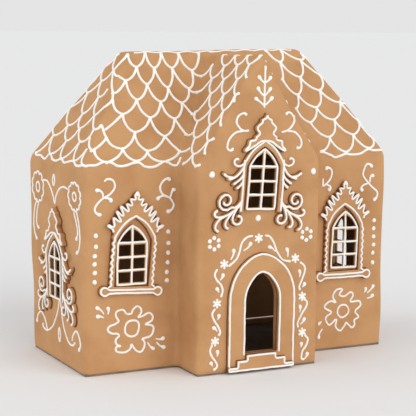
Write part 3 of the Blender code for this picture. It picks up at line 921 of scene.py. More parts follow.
def crown_half():
    """Right half of the fingered crown over a front window, from the jamb up to its finial."""
    tips = ((26.2, 50.4), (21.0, 57.2), (18.3, 62.6), (14.8, 66.8), (9.4, 69.2), (6.0, 73.2))
    hollows = ((20.2, 49.4), (14.2, 53.6), (12.2, 58.6), (7.6, 62.4), (4.6, 67.8), (1.7, 73.0))
    line = [Vector((20.6, 44.0)), Vector((21.4, 46.4))]
    for tip, hollow in zip(tips, hollows):
        tip, hollow = Vector(tip), Vector(hollow)
        along = (tip - (line[-1] + hollow) / 2).normalized()
        across = Vector((along.y, -along.x)) * FINGER_HALF
        line += [tip + across - along * FINGER_HALF, tip + along * 0.2, tip - across - along * FINGER_HALF, hollow]
    return [Vector(p) for p in smooth_line(line + [Vector((2.4, 76.2)), Vector((0.0, 78.6))], steps=4)]


def scalloped_jamb(half, foot, head, depth, pitch):
    """The wavy outer edge of a jamb."""
    count = round((head - foot) / pitch) * 6
    return [Vector((half + depth * math.sin(2 * math.pi * i / 6), foot + (head - foot) * i / count))
            for i in range(count)]


def crown_outline():
    return mirrored(scalloped_jamb(20.0, -7.0, 44.0, 0.7, 5.5) + crown_half())


def sill_outline():
    """A flat bar with round ends, under a front window."""
    half, low, high, knob = 25.0, -9.4, -4.6, 4.5
    ends = [Vector((half + knob * math.cos(a), (low + high) / 2 + knob * math.sin(a)))
            for a in (math.radians(d) for d in range(-125, 126, 25))]
    return mirrored([Vector((0.0, low)), Vector((half - knob, low))] + ends
                    + [Vector((half - knob, high)), Vector((0.0, high))])


def crown_parts():
    """Plates of a crown frame, as (outlines, extra height, outlines of the dark plate painted as shadow at its foot).
    """
    hole = pointed_arch(HOLE_HALF, -3.0, HOLE_SPRING, HOLE_APEX, HOLE_BULGE, steps=10)
    # The painted shadow runs on behind the crown and fills the gaps between the fingers with painted shade
    behind = mirrored([Vector(p) for p in ((20.3, -7.0), (20.3, 44.0), (24.0, 50.0), (20.0, 56.5), (16.8, 61.8),
                                           (13.2, 66.0), (8.6, 69.0), (4.6, 72.6), (2.2, 76.5), (0.0, 78.4))])
    return [([crown_outline(), hole], 0.0, [behind, hole]), ([sill_outline()], 0.2, [sill_outline()])]


SCROLLS = (          # branches on the right of a scroll frame, each with the spiral it ends in, if any
    ([(17.5, 40.5), (20.5, 38.5), (24.5, 37.2), (28.2, 39.0), (28.6, 42.2), (26.2, 43.6), (24.6, 42.4)], None),
    ([(18.5, 39.0), (21.2, 33.5), (25.2, 29.2), (29.8, 27.0), (33.4, 26.4)], None),
    ([(28.5, 27.5), (34.0, 28.5), (38.0, 31.2)], None),
    ([(18.5, 32.0), (21.5, 26.5), (28.2, 21.8)], None),
    ([(18.5, 26.0), (21.0, 21.5), (25.0, 18.2)], None),
    ([(18.5, 9.5), (21.2, 4.5), (26.2, 1.2)], ((33.8, 7.8), -140, 1.36, 8.2, 2.4, 15)),
    ([(19.5, 4.5), (24.0, 0.5), (30.0, -3.4), (36.5, -5.6), (42.0, -5.2), (43.6, -2.2), (41.2, 0.2)], None),
    ([(33.5, -5.0), (38.5, -7.8), (41.6, -12.0), (41.2, -15.8), (38.4, -18.0)], None),
    ([(26.5, -1.5), (30.2, -6.2), (32.6, -10.8), (31.8, -14.2), (29.2, -15.6)], None),
    ([(22.2, 2.5), (25.2, -3.0)], ((20.8, -7.8), 35, -0.9, 5.8, 2.4, 10)),
)


def scroll_lines():
    """Centre lines of the scrolls on the right of a scroll frame."""
    lines = []
    for branch, curl in SCROLLS:
        line = [tuple(p) for p in smooth_line(branch, steps=5)]
        lines.append(line[:-1] + spiral(*curl) if curl else line)
    return lines


def pagoda_half():
    """Right half of the stepped crown, from the middle of its foot out to the wing and up."""
    line = [(0.0, 57.5), (5.0, 57.0), (10.5, 53.5), (19.0, 49.0), (20.2, 51.2), (17.2, 54.2), (16.6, 56.6),
            (15.8, 59.2), (11.2, 60.0), (10.4, 62.2), (7.6, 64.6), (9.4, 67.2), (10.0, 70.0), (7.4, 72.8),
            (5.6, 74.2), (5.0, 76.6), (1.8, 78.2), (0.0, 81.0)]
    return [Vector(p) for p in smooth_line(line, steps=6)]


def scroll_parts():
    """Plates of a scroll frame, as (outlines, extra height, outlines of the dark plate painted as shadow at its foot,
    if others).
    """
    outer = pointed_arch(20.5, -2.5, 38.5, 59.8, 2.8, steps=10)
    hole = pointed_arch(HOLE_HALF, -2.5, HOLE_SPRING, HOLE_APEX - 3.0, HOLE_BULGE, steps=10)
    parts = [([outer + hole[::-1]], 0.0, None), ([mirrored(pagoda_half())], 0.8, None)]
    for number, line in enumerate(scroll_lines()):
        for side in (1, -1):
            turned = [(side * x, y) for x, y in line]
            parts.append(([ribbon(turned, SCROLL_WIDTH)], SCROLL_THICK - FRAME_THICK - 0.03 * number, None))
    return parts


PARTS = {"crown": crown_parts, "scroll": scroll_parts}


def build_frame(name, matrix, parts, thickness, settings, materials, node):
    """A raised frame united from soft plates, with its sides painted dark as shade, and a thin dark plate at its foot,
    a little wider than the frame, painted as its shadow on the wall.
    """
    soft, seam = settings.soft_edge / MM, settings.seam / MM
    frame_piece, painted_shadow_piece = None, None
    for number, (outlines, extra, painted_shadow_outlines) in enumerate(parts):
        low = 0.02 * number
        piece = plate(name, outlines, matrix, low, thickness + extra, soft)
        frame_piece = piece if frame_piece is None else combine(frame_piece, piece, "UNION")
        # A dark plate, grown a little past the piece, at its foot: painted shadow round the raised frame
        strip = plate(name + "_painted_shadow", painted_shadow_outlines or outlines, matrix, -0.6, 0.35 + 0.01 * number, grow=seam)
        painted_shadow_piece = strip if painted_shadow_piece is None else combine(painted_shadow_piece, strip, "UNION")
    out = matrix.to_3x3() @ Vector((0, 0, 1))
    for obj in (frame_piece, painted_shadow_piece):
        settle_object(obj)
    darken_sides(frame_piece, out)
    frame_piece.data.shade_smooth()
    frame_piece.data.set_sharp_from_angle(angle=math.radians(50))
    dress(frame_piece, [materials["frame"], materials["scorched"]], "frame", node)
    # The shadow plate takes the painted shade colour too
    dress(painted_shadow_piece, [materials["scorched"]], "frame")
    frame_piece.name, painted_shadow_piece.name = name, name + "_painted_shadow"
    return frame_piece


def steps_outline():
    right, low = [], 0.0
    for half, high in zip(STEP_HALVES, STEP_TOPS):
        right += [Vector((half, low)), Vector((half, high))]
        low = high
    return mirrored(right)


def make_doorway(settings, materials):
    """The slab round the doorway, and the three steps on its foot."""
    at_door = BAY @ Matrix.Translation((DOOR_MID, 0, GAP))
    outer, hole = drawn_arch(SLAB_ARCH, 0.0), drawn_arch(DOOR_ARCH, DOOR_FOOT)
    build_frame("doorway_slab", at_door, [([outer, hole], 0.0, None)], SURROUND_THICK, settings, materials,
                "door_surround")
    at_steps = BAY @ Matrix.Translation((STEPS_MID, 0, 2 * GAP + SURROUND_THICK))
    build_frame("doorway_steps", at_steps, [([steps_outline()], 0.0, None)], STEPS_THICK, settings, materials,
                "door_steps")


# ---------------------------------------------------------------- icing on the walls

# Columns of dots beside the front windows, as (along, heights)
DOT_COLUMNS = (
    (10.4, (80.0, 88.0, 95.5, 102.5, 110.5, 120.0)), (77.4, (76.5, 84.0, 92.5, 101.0, 109.5, 119.5)),
    (288.7, (76.0, 85.0, 92.5, 100.0, 107.5, 115.0)),
)

# Sprigs, as (points, size of the first end, size of the last end)
FRONT_SPRIGS = (
    ([(18, 166), (21, 168), (25.5, 167), (27.5, 163.5), (27, 159.5), (23, 155), (17.5, 152), (13, 148.5),
      (10, 145), (9.5, 141.5), (12, 138.5), (15.5, 137.5)], 1.0, 2.0),
    ([(10, 158.5), (13.5, 159), (16.5, 156.5), (17, 152.5)], 2.0, 0.7),
    ([(17.5, 152), (22, 151.5), (24, 150), (23, 148)], 0.7, 2.0),
    ([(79.5, 163.5), (77.5, 165.5), (73, 164), (70, 160), (70, 156), (72.5, 152), (78.5, 149), (81, 146),
      (82.5, 142.5), (80.5, 138.5), (75.5, 136.5)], 2.0, 2.0),
    ([(84, 154.5), (82, 156), (80.5, 153), (79, 148.5)], 2.0, 0.7),
    ([(66.5, 147.5), (69, 150), (73, 151), (78.5, 149)], 2.0, 0.7),
    ([(234.5, 164), (237, 166), (240.5, 164.5), (241.5, 160.5), (240, 155.5), (235.5, 151), (232, 149)], 2.0, 0.8),
    ([(232.5, 156.5), (232, 149)], 1.0, 0.8),
    ([(235.5, 150.5), (238, 150), (240.5, 148), (238, 144.5)], 0.7, 2.0),
    ([(285, 164), (282, 167), (278.5, 167), (276, 163), (275, 158), (278, 153), (281.5, 149.5), (285.5, 145.5),
      (290, 142), (291, 138.5), (289.5, 135.5), (286.5, 133.5)], 2.0, 2.0),
    ([(281.5, 149.5), (277, 149), (274, 147), (273.5, 144.5), (276, 143.5)], 0.7, 2.0),
    ([(282.5, 150), (282.5, 154), (284, 156.5), (287, 156)], 0.7, 2.0),
)

# The petals of the flower under the left window, one stroke each, and its middle
LEFT_PETALS = (
    [(31.5, 44), (28.5, 49), (29, 52.5), (33, 54), (36, 53.5), (38.5, 50)],
    [(38.5, 50), (43, 50), (44.5, 53), (48.5, 56), (52, 54), (52.5, 50.5), (49, 46)],
    [(49, 46), (54.5, 47.5), (59.5, 49.5), (63, 47), (62.5, 43), (59.5, 41), (55.5, 39.5)],
    [(55.5, 39.5), (62.5, 38), (63.5, 34), (61.5, 29.5), (58, 28), (52.5, 27)],
    [(52.5, 27), (55, 24.5), (55, 19.5), (52, 15.5), (47, 17.5), (43, 23.5)],
    [(43, 23.5), (42, 19), (37, 16.5), (30, 17.5), (28.5, 19.5), (29.5, 22), (33.5, 22)],
    [(33.5, 22), (29.5, 24), (28.5, 28), (32, 31.5)],
    [(32, 31.5), (29.5, 33.5), (25, 34), (21, 37), (22.5, 40.5), (27.5, 42), (31.5, 44)],
)
LEFT_MIDDLE = [(43, 44), (48.5, 43), (50, 38), (48, 31.5), (42.5, 30), (37.5, 33), (37, 38.5), (39, 42.5)]

# The flower under the right window is one closed stroke
RIGHT_FLOWER = [
    (255.5, 53.5), (249, 53.5), (245, 47.5), (248.5, 41.5), (244, 43.5), (238, 41), (236.5, 37.5), (244, 33),
    (239.5, 30), (238, 26.5), (242.5, 21), (249.5, 26), (249, 19), (254, 15), (258.5, 19), (260.5, 22),
    (266.5, 17), (269.5, 20), (269, 24), (273.5, 26.5), (269.5, 32), (275, 37), (273.5, 41.5), (264, 41.5),
    (267, 47), (264.5, 50.5), (257.5, 47), (252, 49)]
RIGHT_MIDDLE = [(255.5, 39), (260, 38), (262.5, 34), (261.5, 30), (255.5, 27), (251, 30.5), (250.5, 34.5), (252, 37.5)]

DOT = 4.2            # width of a dot

FRONT_DROPS = (
    [(10, 58.5), (17.5, 51.5)], [(10, 50), (17.5, 48.5)], [(21, 58), (21, 51)],
    [(74.5, 26), (65.5, 26)], [(75.5, 17), (66.5, 23)], [(65, 16.5), (58, 23.5)],
    [(281, 54), (279, 48.5)], [(290, 55.5), (282, 48)], [(289.5, 46.5), (282, 43)],
    [(230, 22), (234, 25)], [(230.5, 9), (235, 18.5)],
)

# On the front of the bay, round the door
BAY_STARS = ((146, 113), (112, 94), (182.5, 93), (105.5, 60.5), (189, 59), (104, 27.5), (190, 27.5))
BAY_CURVES = (
    [(140.5, 115.5), (135, 115), (130, 111), (127, 103), (124, 97), (116, 91.5)],
    [(152, 115), (157, 113.5), (161, 108), (165, 99), (170, 92.5), (178, 90.5)],
    [(105.5, 90.5), (103, 86), (105, 81), (109, 76), (110.5, 71), (109, 65.5)],
    [(104, 56.5), (101, 52), (103, 46), (107, 40), (109, 35), (107, 32)],
    [(101.5, 25), (99.5, 20), (102, 14), (106, 8), (106, 4.5), (102.5, 2.5)],
    [(187, 89.5), (191.5, 86), (192, 81), (189, 74), (186, 68), (187, 64.5)],
    [(190, 57), (194, 54), (193, 49), (188, 42), (185, 36), (186, 32)],
    [(192.5, 25), (196, 21), (194, 15), (190.5, 10), (190, 4), (193, 3)],
)
BAY_DROPS = (
    [(121.5, 106.5), (118.5, 97)], [(139, 110.5), (131, 103.5)], [(155.5, 105), (163, 100)],
    [(173.5, 103), (175, 94.5)], [(111, 86.5), (108, 80.5)], [(104, 74.5), (107, 70)],
    [(107.5, 51.5), (106, 46)], [(101, 40.5), (106, 36)], [(106, 20), (106.5, 14)], [(99.5, 10), (102, 6)],
    [(186, 83), (186.5, 76)], [(192, 71.5), (189, 67)], [(186.5, 52), (187, 45)], [(192.5, 40.5), (188, 34.5)],
    [(189, 19), (189, 14)], [(196, 9.5), (193, 3)],
)
BAY_RINGS = ((103, 112.5), (193, 113))
BAY_DOTS = ((99.5, 171.5), (198.5, 167), (144.5, 130.5))

# Scrolls on the gable, beside and above the upper window
GABLE_SPRIGS = (
    ([(132.5, 219), (129.5, 221), (124.5, 219), (122.5, 214), (125.5, 208.5), (130.5, 206), (134.5, 206)], 1.5, 1.0),
    ([(130.5, 206), (122.5, 205.5), (116.5, 201), (114, 195), (114.5, 191.5), (117.5, 190.5), (119.5, 192.5)], 0.7, 1.5),
    ([(171, 217), (172.5, 219), (176.5, 218.5), (179.5, 213), (176.5, 207), (171.5, 203.5), (166, 202.5)], 1.5, 1.0),
    ([(171.5, 203.5), (179.5, 202), (184.5, 197), (186, 192.5), (184.5, 188.5), (180.5, 188.5)], 0.7, 1.5),
    ([(149.5, 224), (149.5, 242), (149.5, 260)], 1.0, 1.4),
    ([(143, 252), (145.5, 248.5), (149.5, 245)], 2.0, 0.8), ([(155.5, 251), (153.5, 248), (149.5, 245)], 2.0, 0.8),
    ([(142.5, 242.5), (145.5, 238), (149.5, 234)], 2.0, 0.8), ([(156, 241.5), (153.5, 238), (149.5, 234)], 2.0, 0.8),
    ([(140, 233.5), (144.5, 230), (149.5, 226)], 2.0, 0.8), ([(158, 233.5), (154.5, 230), (149.5, 226)], 2.0, 0.8),
)

# On the end walls, along from the front (negative, as the left end runs away from the front)
END_FLOWERS = ((-104, 152, 14.5, 4.5, 10), (-19, 152, 13.0, 3.8, 11))
END_SPRIGS = (
    ([(-63, 140.5), (-67, 149), (-74, 156), (-82, 160), (-91, 159.5)], 0.8, 1.0),
    ([(-63, 140.5), (-59, 149), (-52, 155), (-43, 158), (-33, 157)], 0.8, 1.0),
    ([(-108, 139), (-114, 130), (-116, 117), (-113, 108), (-107, 103)], 0.8, 2.0),
    ([(-102, 139), (-107, 130), (-109, 121), (-107, 116), (-102, 114)], 0.8, 2.0),
    ([(-16, 140), (-11, 128), (-9, 116), (-11, 107), (-16, 103)], 0.8, 2.0),
    ([(-22, 139), (-17, 130), (-14, 121), (-17, 114)], 0.8, 2.0),
    ([(-57, 57), (-58, 50), (-63, 40), (-70, 31), (-77, 26), (-87, 22), (-96, 23), (-98, 27)], 0.8, 1.5),
    ([(-114, 24), (-112, 31), (-105, 36), (-98, 35), (-91, 30), (-86, 23)], 2.0, 0.8),
    ([(-55, 57), (-51, 47), (-46, 34), (-39, 25), (-32, 20.5), (-25, 20.5), (-20, 24)], 0.8, 1.5),
    ([(-27, 24), (-24, 30), (-17, 35), (-11, 31), (-8, 24), (-12, 18)], 0.8, 2.0),
)
END_LOOPS = ((-65, 162, 2.4, 5.0), (-56, 24, 2.4, 6.5))     # along, up, half width, half height


def ice_sprigs(piping, wall, sprigs, width):
    for points, start, end in sprigs:
        piping.stroke(points, wall, width, start=start, end=end)


def ice_drops(piping, wall, drops, width):
    """Commas of icing, fat at their first end."""
    for head, tail in drops:
        bend = ((head[0] + tail[0]) / 2 + 0.1 * (head[1] - tail[1]), (head[1] + tail[1]) / 2 - 0.1 * (head[0] - tail[0]))
        piping.stroke([head, bend, tail], wall, width, start=2.0, end=0.9, tail=0.7)


def ice_star(piping, wall, middle, radius, width, arms=6):
    """Short strokes from a middle outwards."""
    for arm in range(arms):
        turn = math.radians(90 + 360 * arm / arms)
        tip = (middle[0] + radius * math.cos(turn), middle[1] + radius * math.sin(turn))
        piping.stroke([tip, middle], wall, width, start=1.25, end=1.0)


def ice_ring_of_dots(piping, wall, middle, radius, diameter, count=6):
    for dot in range(count):
        turn = 2 * math.pi * (dot + 0.5) / count
        piping.dab((middle[0] + radius * math.cos(turn), middle[1] + radius * math.sin(turn)), wall, diameter)


def ice_flower(piping, wall, middle, radius, inner, petals, width):
    """A flower of one wavy closed line round a small ring."""
    outline = []
    for i in range(petals * 8):
        turn = 2 * math.pi * i / (petals * 8)
        reach = radius * (0.84 + 0.16 * abs(math.sin(petals * turn / 2)) ** 0.6 + 0.02 * math.sin(2 * turn + 1))
        outline.append((middle[0] + reach * math.cos(turn), middle[1] + reach * math.sin(turn)))
    piping.bead(placed(outline, wall), width, wall_out(wall), closed=True)
    ring = [(middle[0] + inner * math.cos(turn), middle[1] + inner * math.sin(turn))
            for turn in (math.pi * i / 5 for i in range(10))]
    piping.stroke(ring, wall, width, closed=True)


def ice_end(piping, wall, side, width):
    """The ornament of an end wall. Side is 1 on the left end and -1 on the right."""
    for along, up, radius, inner, petals in END_FLOWERS:
        ice_flower(piping, wall, (side * along, up), radius, inner, petals, width)
    ice_sprigs(piping, wall, [([(side * x, y) for x, y in points], start, end)
                              for points, start, end in END_SPRIGS], width)
    for along, up, half, tall in END_LOOPS:
        loop = [(side * (along + x), up + y) for x, y in ((0, tall), (half, 0), (0, -tall), (-half, 0))]
        piping.stroke(loop, wall, width, closed=True)


def make_wall_icing(settings, materials):
    """Everything piped straight on the walls."""
    width = settings.wall_line
    piping = Piping("wall_icing", 11, made["skin"])
    for along, heights in DOT_COLUMNS:
        for up in heights:
            piping.dab((along + piping.random.uniform(-0.4, 0.4), up), FRONT, DOT)
    ice_sprigs(piping, FRONT, FRONT_SPRIGS, width)
    ice_drops(piping, FRONT, FRONT_DROPS, width)
    for petal in LEFT_PETALS:
        piping.stroke(petal, FRONT, width)
    for closed_line in (LEFT_MIDDLE, RIGHT_FLOWER, RIGHT_MIDDLE):
        piping.stroke(closed_line, FRONT, width, closed=True)
    for middle in BAY_STARS:
        ice_star(piping, BAY, middle, 4.3, width)
    ice_sprigs(piping, BAY, [(points, 1.0, 1.3) for points in BAY_CURVES], width)
    ice_drops(piping, BAY, BAY_DROPS, width)
    for middle in BAY_RINGS:
        ice_ring_of_dots(piping, BAY, middle, 4.8, 3.9)
    for middle in BAY_DOTS:
        piping.dab(middle, BAY, 5.6)
    ice_sprigs(piping, BAY, GABLE_SPRIGS, width)
    ice_end(piping, LEFT, 1, width)
    ice_end(piping, RIGHT, -1, width)
    piping.finish(materials["icing"])


# ---------------------------------------------------------------- icing on frames, grilles and doorway

GRILLE_LINES = 13.3, 0.0, 36.0, 51.0      # half width, foot, spring and apex of the line round a grille
CROSS_LINES = (12.2, 23.7, 36.2)


def inset_line(points, distance, closed=True):
    """A line moved sideways, to its left, by a distance."""
    points = np.array([tuple(p) for p in points], float)
    if closed:
        ahead = np.roll(points, -1, axis=0) - np.roll(points, 1, axis=0)
    else:
        ahead = np.gradient(points, axis=0)
    ahead /= np.maximum(np.linalg.norm(ahead, axis=1), 1e-9)[:, None]
    return points + distance * np.stack([-ahead[:, 1], ahead[:, 0]], axis=1)


def both_sides(right):
    """A line from one foot over the middle to the other foot, from its right half."""
    left = [(-p[0], p[1]) for p in right if abs(p[0]) > 1e-4]
    return [tuple(p) for p in right] + left[::-1]


def ice_grille(piping, matrix, width):
    half, foot, spring, apex = GRILLE_LINES
    outline = pointed_arch(half, foot, spring, apex, PANES_BULGE, steps=8)
    corners = rounded(outline, 0.5, steps=2)
    piping.flat_bead(corners, matrix, width, PLAQUE_THICK, closed=True)
    piping.flat_bead([(0.0, foot), (0.0, apex - 1)], matrix, width, PLAQUE_THICK)
    for up in CROSS_LINES:
        piping.flat_bead([(-half, up), (half, up)], matrix, width, PLAQUE_THICK)


def ice_crown_frame(piping, matrix, width):
    out = GAP + FRAME_THICK
    jamb = [(19.2 + 0.8 * math.sin(2 * math.pi * up / 5.5) + 2.0 * max(0.0, 1 - (up + 3.5) / 4) ** 2, up)
            for up in (-3.5 + 0.7 * i for i in range(60))]
    arch = [tuple(p) for p in arch_half(18.2, 40.0, 40.5, 58.4, 2.4, steps=10)[1:]]
    piping.flat_bead(both_sides(jamb + arch), matrix, width, out)
    crown = crown_half()
    line = both_sides([tuple(p) for p in inset_line(crown, 0.55, closed=False)[:-1]] + [(0.0, 77.6)])
    piping.flat_bead(line, matrix, width, out)
    piping.dot(placed([(0.0, 77.4)], matrix, out)[0], 4.0, wall_out(matrix))
    piping.flat_bead(inset_line(sill_outline(), 0.9), matrix, width, out + 0.2, closed=True)


def ice_scroll_frame(piping, matrix, width):
    out = GAP + FRAME_THICK
    arch = arch_half(19.2, -1.5, 38.5, 58.2, 2.6, steps=10)
    piping.flat_bead(both_sides([tuple(p) for p in smooth_line(arch, steps=3)]), matrix, width, out)
    piping.flat_bead(inset_line(mirrored(pagoda_half()), 0.9), matrix, width, out + 0.8, closed=True)
    for line in scroll_lines():
        for side in (1, -1):
            piping.flat_bead([(side * p[0], p[1]) for p in line], matrix, width, GAP + SCROLL_THICK, end=1.3)


def ice_doorway(piping, width):
    at_door = BAY @ Matrix.Translation((DOOR_MID, 0, GAP))
    for arch, foot, inset in ((SLAB_ARCH, 3.0, 0.8), (DOOR_ARCH, STEP_TOPS[2] - 0.5, -1.2)):
        half = inset_line(drawn_half(arch, foot), inset, closed=False)
        half[-1, 0] = 0.0
        piping.flat_bead(both_sides(half), at_door, width, SURROUND_THICK)
    at_steps = BAY @ Matrix.Translation((STEPS_MID, 0, 2 * GAP + SURROUND_THICK))
    piping.flat_bead(inset_line(rounded(steps_outline(), 0.6), 0.8), at_steps, width, STEPS_THICK, closed=True)


def make_frame_icing(settings, materials):
    """The lines on frames, grilles, doorway and steps."""
    width = settings.frame_line
    piping = Piping("frame_icing", 12)
    for window, (_, kind, _, _) in WINDOWS.items():
        ice_grille(piping, grille_matrix(window), width)
        lines = ice_crown_frame if kind == "crown" else ice_scroll_frame
        lines(piping, frame_matrix(window), width)
    ice_doorway(piping, width)
    piping.finish(materials["icing"])


# ---------------------------------------------------------------- icing on the roof

# Rows of nodes from the top down, as (place of the first node, nodes, places whose scale is
# piped elsewhere). A node at place p hangs from those at p - 1/2 and p + 1/2 in the row above.
FRONT_LEFT_ROWS = (
    (1.0, ((3, 107), (19.5, 108), (35, 107), (52, 107), (72, 107)), ()),
    (1.5, ((16, 93.5), (33.5, 92), (51, 91.5), (71.5, 89)), ()),
    (1.0, ((9.5, 81), (31, 76.5), (52.5, 72.5), (74, 71)), (1.0,)),
    (0.5, ((3.5, 63), (26, 62), (49.5, 59), (71, 57)), (0.5,)),
    (1.0, ((18, 49), (45, 44.5), (69, 42)), (1.0,)),
    (0.5, ((11.5, 27), (36, 31.5), (66, 26)), (0.5,)),
    (0.0, ((3.5, 17), (30, 16.5), (54, 13.5), (86, 10.5)), (0.0, 1.0, 3.0)),
    (0.5, ((19, 4.5), (46, 4.5), (71, 2.5)), (0.5,)),
)
HIP_ROWS = (
    (0.5, ((67, 106),), ()),
    (0.0, ((56, 91), (80, 93)), (0.0,)),
    (0.5, ((68, 79.5), (90.5, 74)), ()),
    (0.0, ((55, 64.5), (81.5, 67)), (0.0,)),
    (-0.5, ((40, 47.5), (66, 47), (100, 51.5)), (-0.5,)),
    (-1.0, ((24, 34), (55, 33.5), (82, 34.5), (113, 40)), (-1.0,)),
    (-0.5, ((37.5, 22), (67, 20.5), (100.5, 23)), (-0.5,)),
    (-1.0, ((27, 4.5), (54, 4), (84, 6), (116, 4)), (-1.0,)),
)
BAY_ROWS = (
    (0.0, ((2, 110), (24, 109), (46.5, 109), (70, 109), (95, 109)), ()),
    (0.5, ((10.5, 98.5), (31.5, 98), (54, 96.5), (77.5, 97)), (3.5,)),
    (0.0, ((-1, 84.5), (16, 84), (41, 83.5), (63.5, 83.5)), ()),
    (0.5, ((4.5, 69), (25.5, 69), (50.5, 68.5)), ()),
    (0.0, ((-3, 61), (10.5, 53.5), (34.5, 54.5), (60, 49)), ()),
    (0.5, ((-2, 38.5), (19.5, 39.5), (46, 41)), ()),
    (1.0, ((7.5, 25), (33, 25.5)), ()),
    (0.5, ((-2, 10.5), (20, 11)), ()),
    (1.0, ((7, 1.2), (30, 1)), ()),
)
FRONT_RIGHT_ROWS = (
    (0.0, ((202, 108), (218.5, 107.5), (239, 104)), ()),
    (0.5, ((213, 95), (235.5, 97)), ()),
    (0.0, ((210, 77), (229, 79), (252, 81.5)), (2.0,)),
    (0.5, ((221.5, 61), (246, 65)), ()),
    (0.0, ((216.5, 47), (238, 47.5), (264.5, 52)), (2.0,)),
    (0.5, ((227.5, 32.5), (253.5, 34.5), (280, 33)), (2.5,)),
    (1.0, ((243.5, 17), (269.5, 18.5), (291, 14)), (3.0,)),
    (0.5, ((231, 3), (257, 1.5), (282, 4)), ()),
)

# Scales that lie across the front left hip, as (left, lowest and right node)
LEFT_HIP_SCALES = (
    ((-16, 104), (-10.5, 91), (3, 107)), ((-10.5, 91), (9.5, 81), (16, 93.5)),
    ((-10.5, 90), (1, 70.5), (9.5, 81)), ((-28.5, 79.5), (-22.5, 64.5), (-9.5, 73.5)),
    ((-22.5, 64.5), (-16, 47.5), (3.5, 63)), ((3.5, 63), (18, 49), (26, 62)),
    ((-16, 47.5), (-7, 35), (2, 40.5)), ((-36, 33.5), (-26.5, 22), (-9, 29)),
    ((-9, 28), (1, 17), (11.5, 27)), ((11.5, 27), (30, 16.5), (36, 31.5)),
    ((-26.5, 22), (-24, 4.5), (-6, 17.5)), ((3.5, 17), (19, 4.5), (30, 16.5)),
)
LEFT_HIP_LINES = (
    [(1, 70.5), (3.5, 63)], [(2, 40.5), (8, 31.5), (11.5, 27)], [(18, 49), (13, 41), (7, 34.5)],
    [(-7, 35), (-9, 28)], [(-6, 17.5), (-9, 11), (-8, 5), (-4, 3)],
)
RIGHT_HIP_SCALES = (
    ((-16, 104), (-10, 91), (2, 104)), ((-10, 91), (2, 81.5), (10, 97)), ((-28, 79.5), (-22, 64.5), (2, 81)),
    ((-22, 64), (6, 52), (17, 65)), ((-22, 64), (-16, 47.5), (6, 52)), ((-16, 47.5), (1.5, 33), (6, 52)),
    ((-36, 33.5), (-26.5, 22), (1.4, 33)), ((-26.5, 22), (1, 14), (1.4, 33)), ((-26.5, 22), (-24, 4.5), (1, 14)),
)

# Scales across the bay's left valley: two nodes on the main roof, then one on the bay's slope
VALLEY_SCALES = (
    ((71.5, 89), (82.5, 83), (77.5, 97)), ((74, 71), (82.5, 67), (63.5, 83.5)),
    ((71, 57), (85, 45.5), (58, 46)), ((69, 42), (87, 25.5), (42, 30)), ((66, 26), (86, 10.5), (31, 16)),
)

# Wavy lines along the eaves
FRONT_LEFT_EAVE = [(-12, 1.5), (-3, 3), (3, 3), (10, 2.5), (16, 5), (24, 4), (30, 1.2), (38, 1), (44, 3),
                   (50, 3), (56, -0.5), (61, -1.5), (67, -1), (73, 2.5), (78, 1.5), (84, -1.5), (90, -1), (96, 1)]
HIP_EAVE = [(-114, 4), (-110, 2.5), (-102, 3), (-90, 1), (-83, 6), (-79, 6), (-72, 2), (-63, 1.5), (-54, 4),
            (-50, 3.5), (-45, 1.5), (-37, 2.5), (-27, 4.5), (-23, 4), (-18, 1.5), (-10, 1.5), (-5, 3)]
FRONT_RIGHT_EAVE = [(229.5, 3), (233, 2.5), (240, -0.5), (244.5, -3.5), (250, -2), (256, 0), (262, -1),
                    (272, -0.5), (281, 3), (286, 2), (292, 1.5), (298, 2)]
NODE = 3.4          # width of the dab where scales meet


def scale_line(left, node, right, bulge=0.31, steps=12):
    """One scale: a line from the left node down round its own node and up to the right one."""
    left, node, right = (np.array(p, float) for p in (left, node, right))
    t = np.linspace(0, 1, steps)[:, None]
    arms = []
    for start, control, end in ((left, (left + node) / 2 + bulge * (node - right), node),
                                (node, (node + right) / 2 + bulge * (node - left), right)):
        arms.append(start * (1 - t) ** 2 + control * 2 * t * (1 - t) + end * t ** 2)
    return arms


def ice_scale(piping, width, left, node, right, keep=None, arms=(True, True)):
    drawn = [arm for arm, wanted in zip(scale_line(left, node, right), arms) if wanted]
    line = np.vstack(drawn)
    if keep is not None:
        line = line[keep(line)]
    if len(line) > 4:
        piping.bead(line, width, start=1.2, end=1.2)


def ice_rows(piping, width, chart, rows, keep=None):
    above = {}
    for first, nodes, elsewhere in rows:
        here = {first + i: node for i, node in enumerate(nodes)}
        for place, node in here.items():
            spot = np.array([chart(*node)], float)
            if keep is None or keep(spot)[0]:
                piping.dot(spot[0], NODE)
            left, right = above.get(place - 0.5), above.get(place + 0.5)
            if place in elsewhere or not (left or right):
                continue
            arms = (bool(left), bool(right))
            left = left or (2 * node[0] - right[0], right[1])
            right = right or (2 * node[0] - left[0], left[1])
            ice_scale(piping, width, chart(*left), chart(*node), chart(*right), keep, arms)
        above = here


def ice_hip(piping, width, chart, scales, lines=()):
    for scale in scales:
        ice_scale(piping, width, *(chart(*node) for node in scale))
        piping.dot(chart(*scale[1]), NODE)
    for line in lines:
        piping.bead([chart(*p) for p in smooth_line(line)], width)


def in_front_edge(points):
    """True for places on the bay roof behind its front edge."""
    return points[:, 1] > 0.8 - BAY_OUT


def behind_front_edge(points):
    """The same, clear of the rounding of the edge."""
    return points[:, 1] > 4.5 - BAY_OUT


def back_rows(random):
    """Rows of nodes for the back slope, as a fan of evenly spread columns."""
    rows = []
    for row, v in enumerate((108, 93, 78, 63, 48, 34, 20, 4)):
        half = 5.0 if row % 2 == 0 else 4.5
        pitch = (WIDTH / 2 - HIP_END * v / SLOPE) / 5.5
        nodes = tuple((WIDTH / 2 + pitch * (place - half) + random.uniform(-1.5, 1.5),
                       v + random.uniform(-1.5, 1.5)) for place in range(int(2 * half) + 1))
        rows.append((-half, nodes, ()))
    return rows


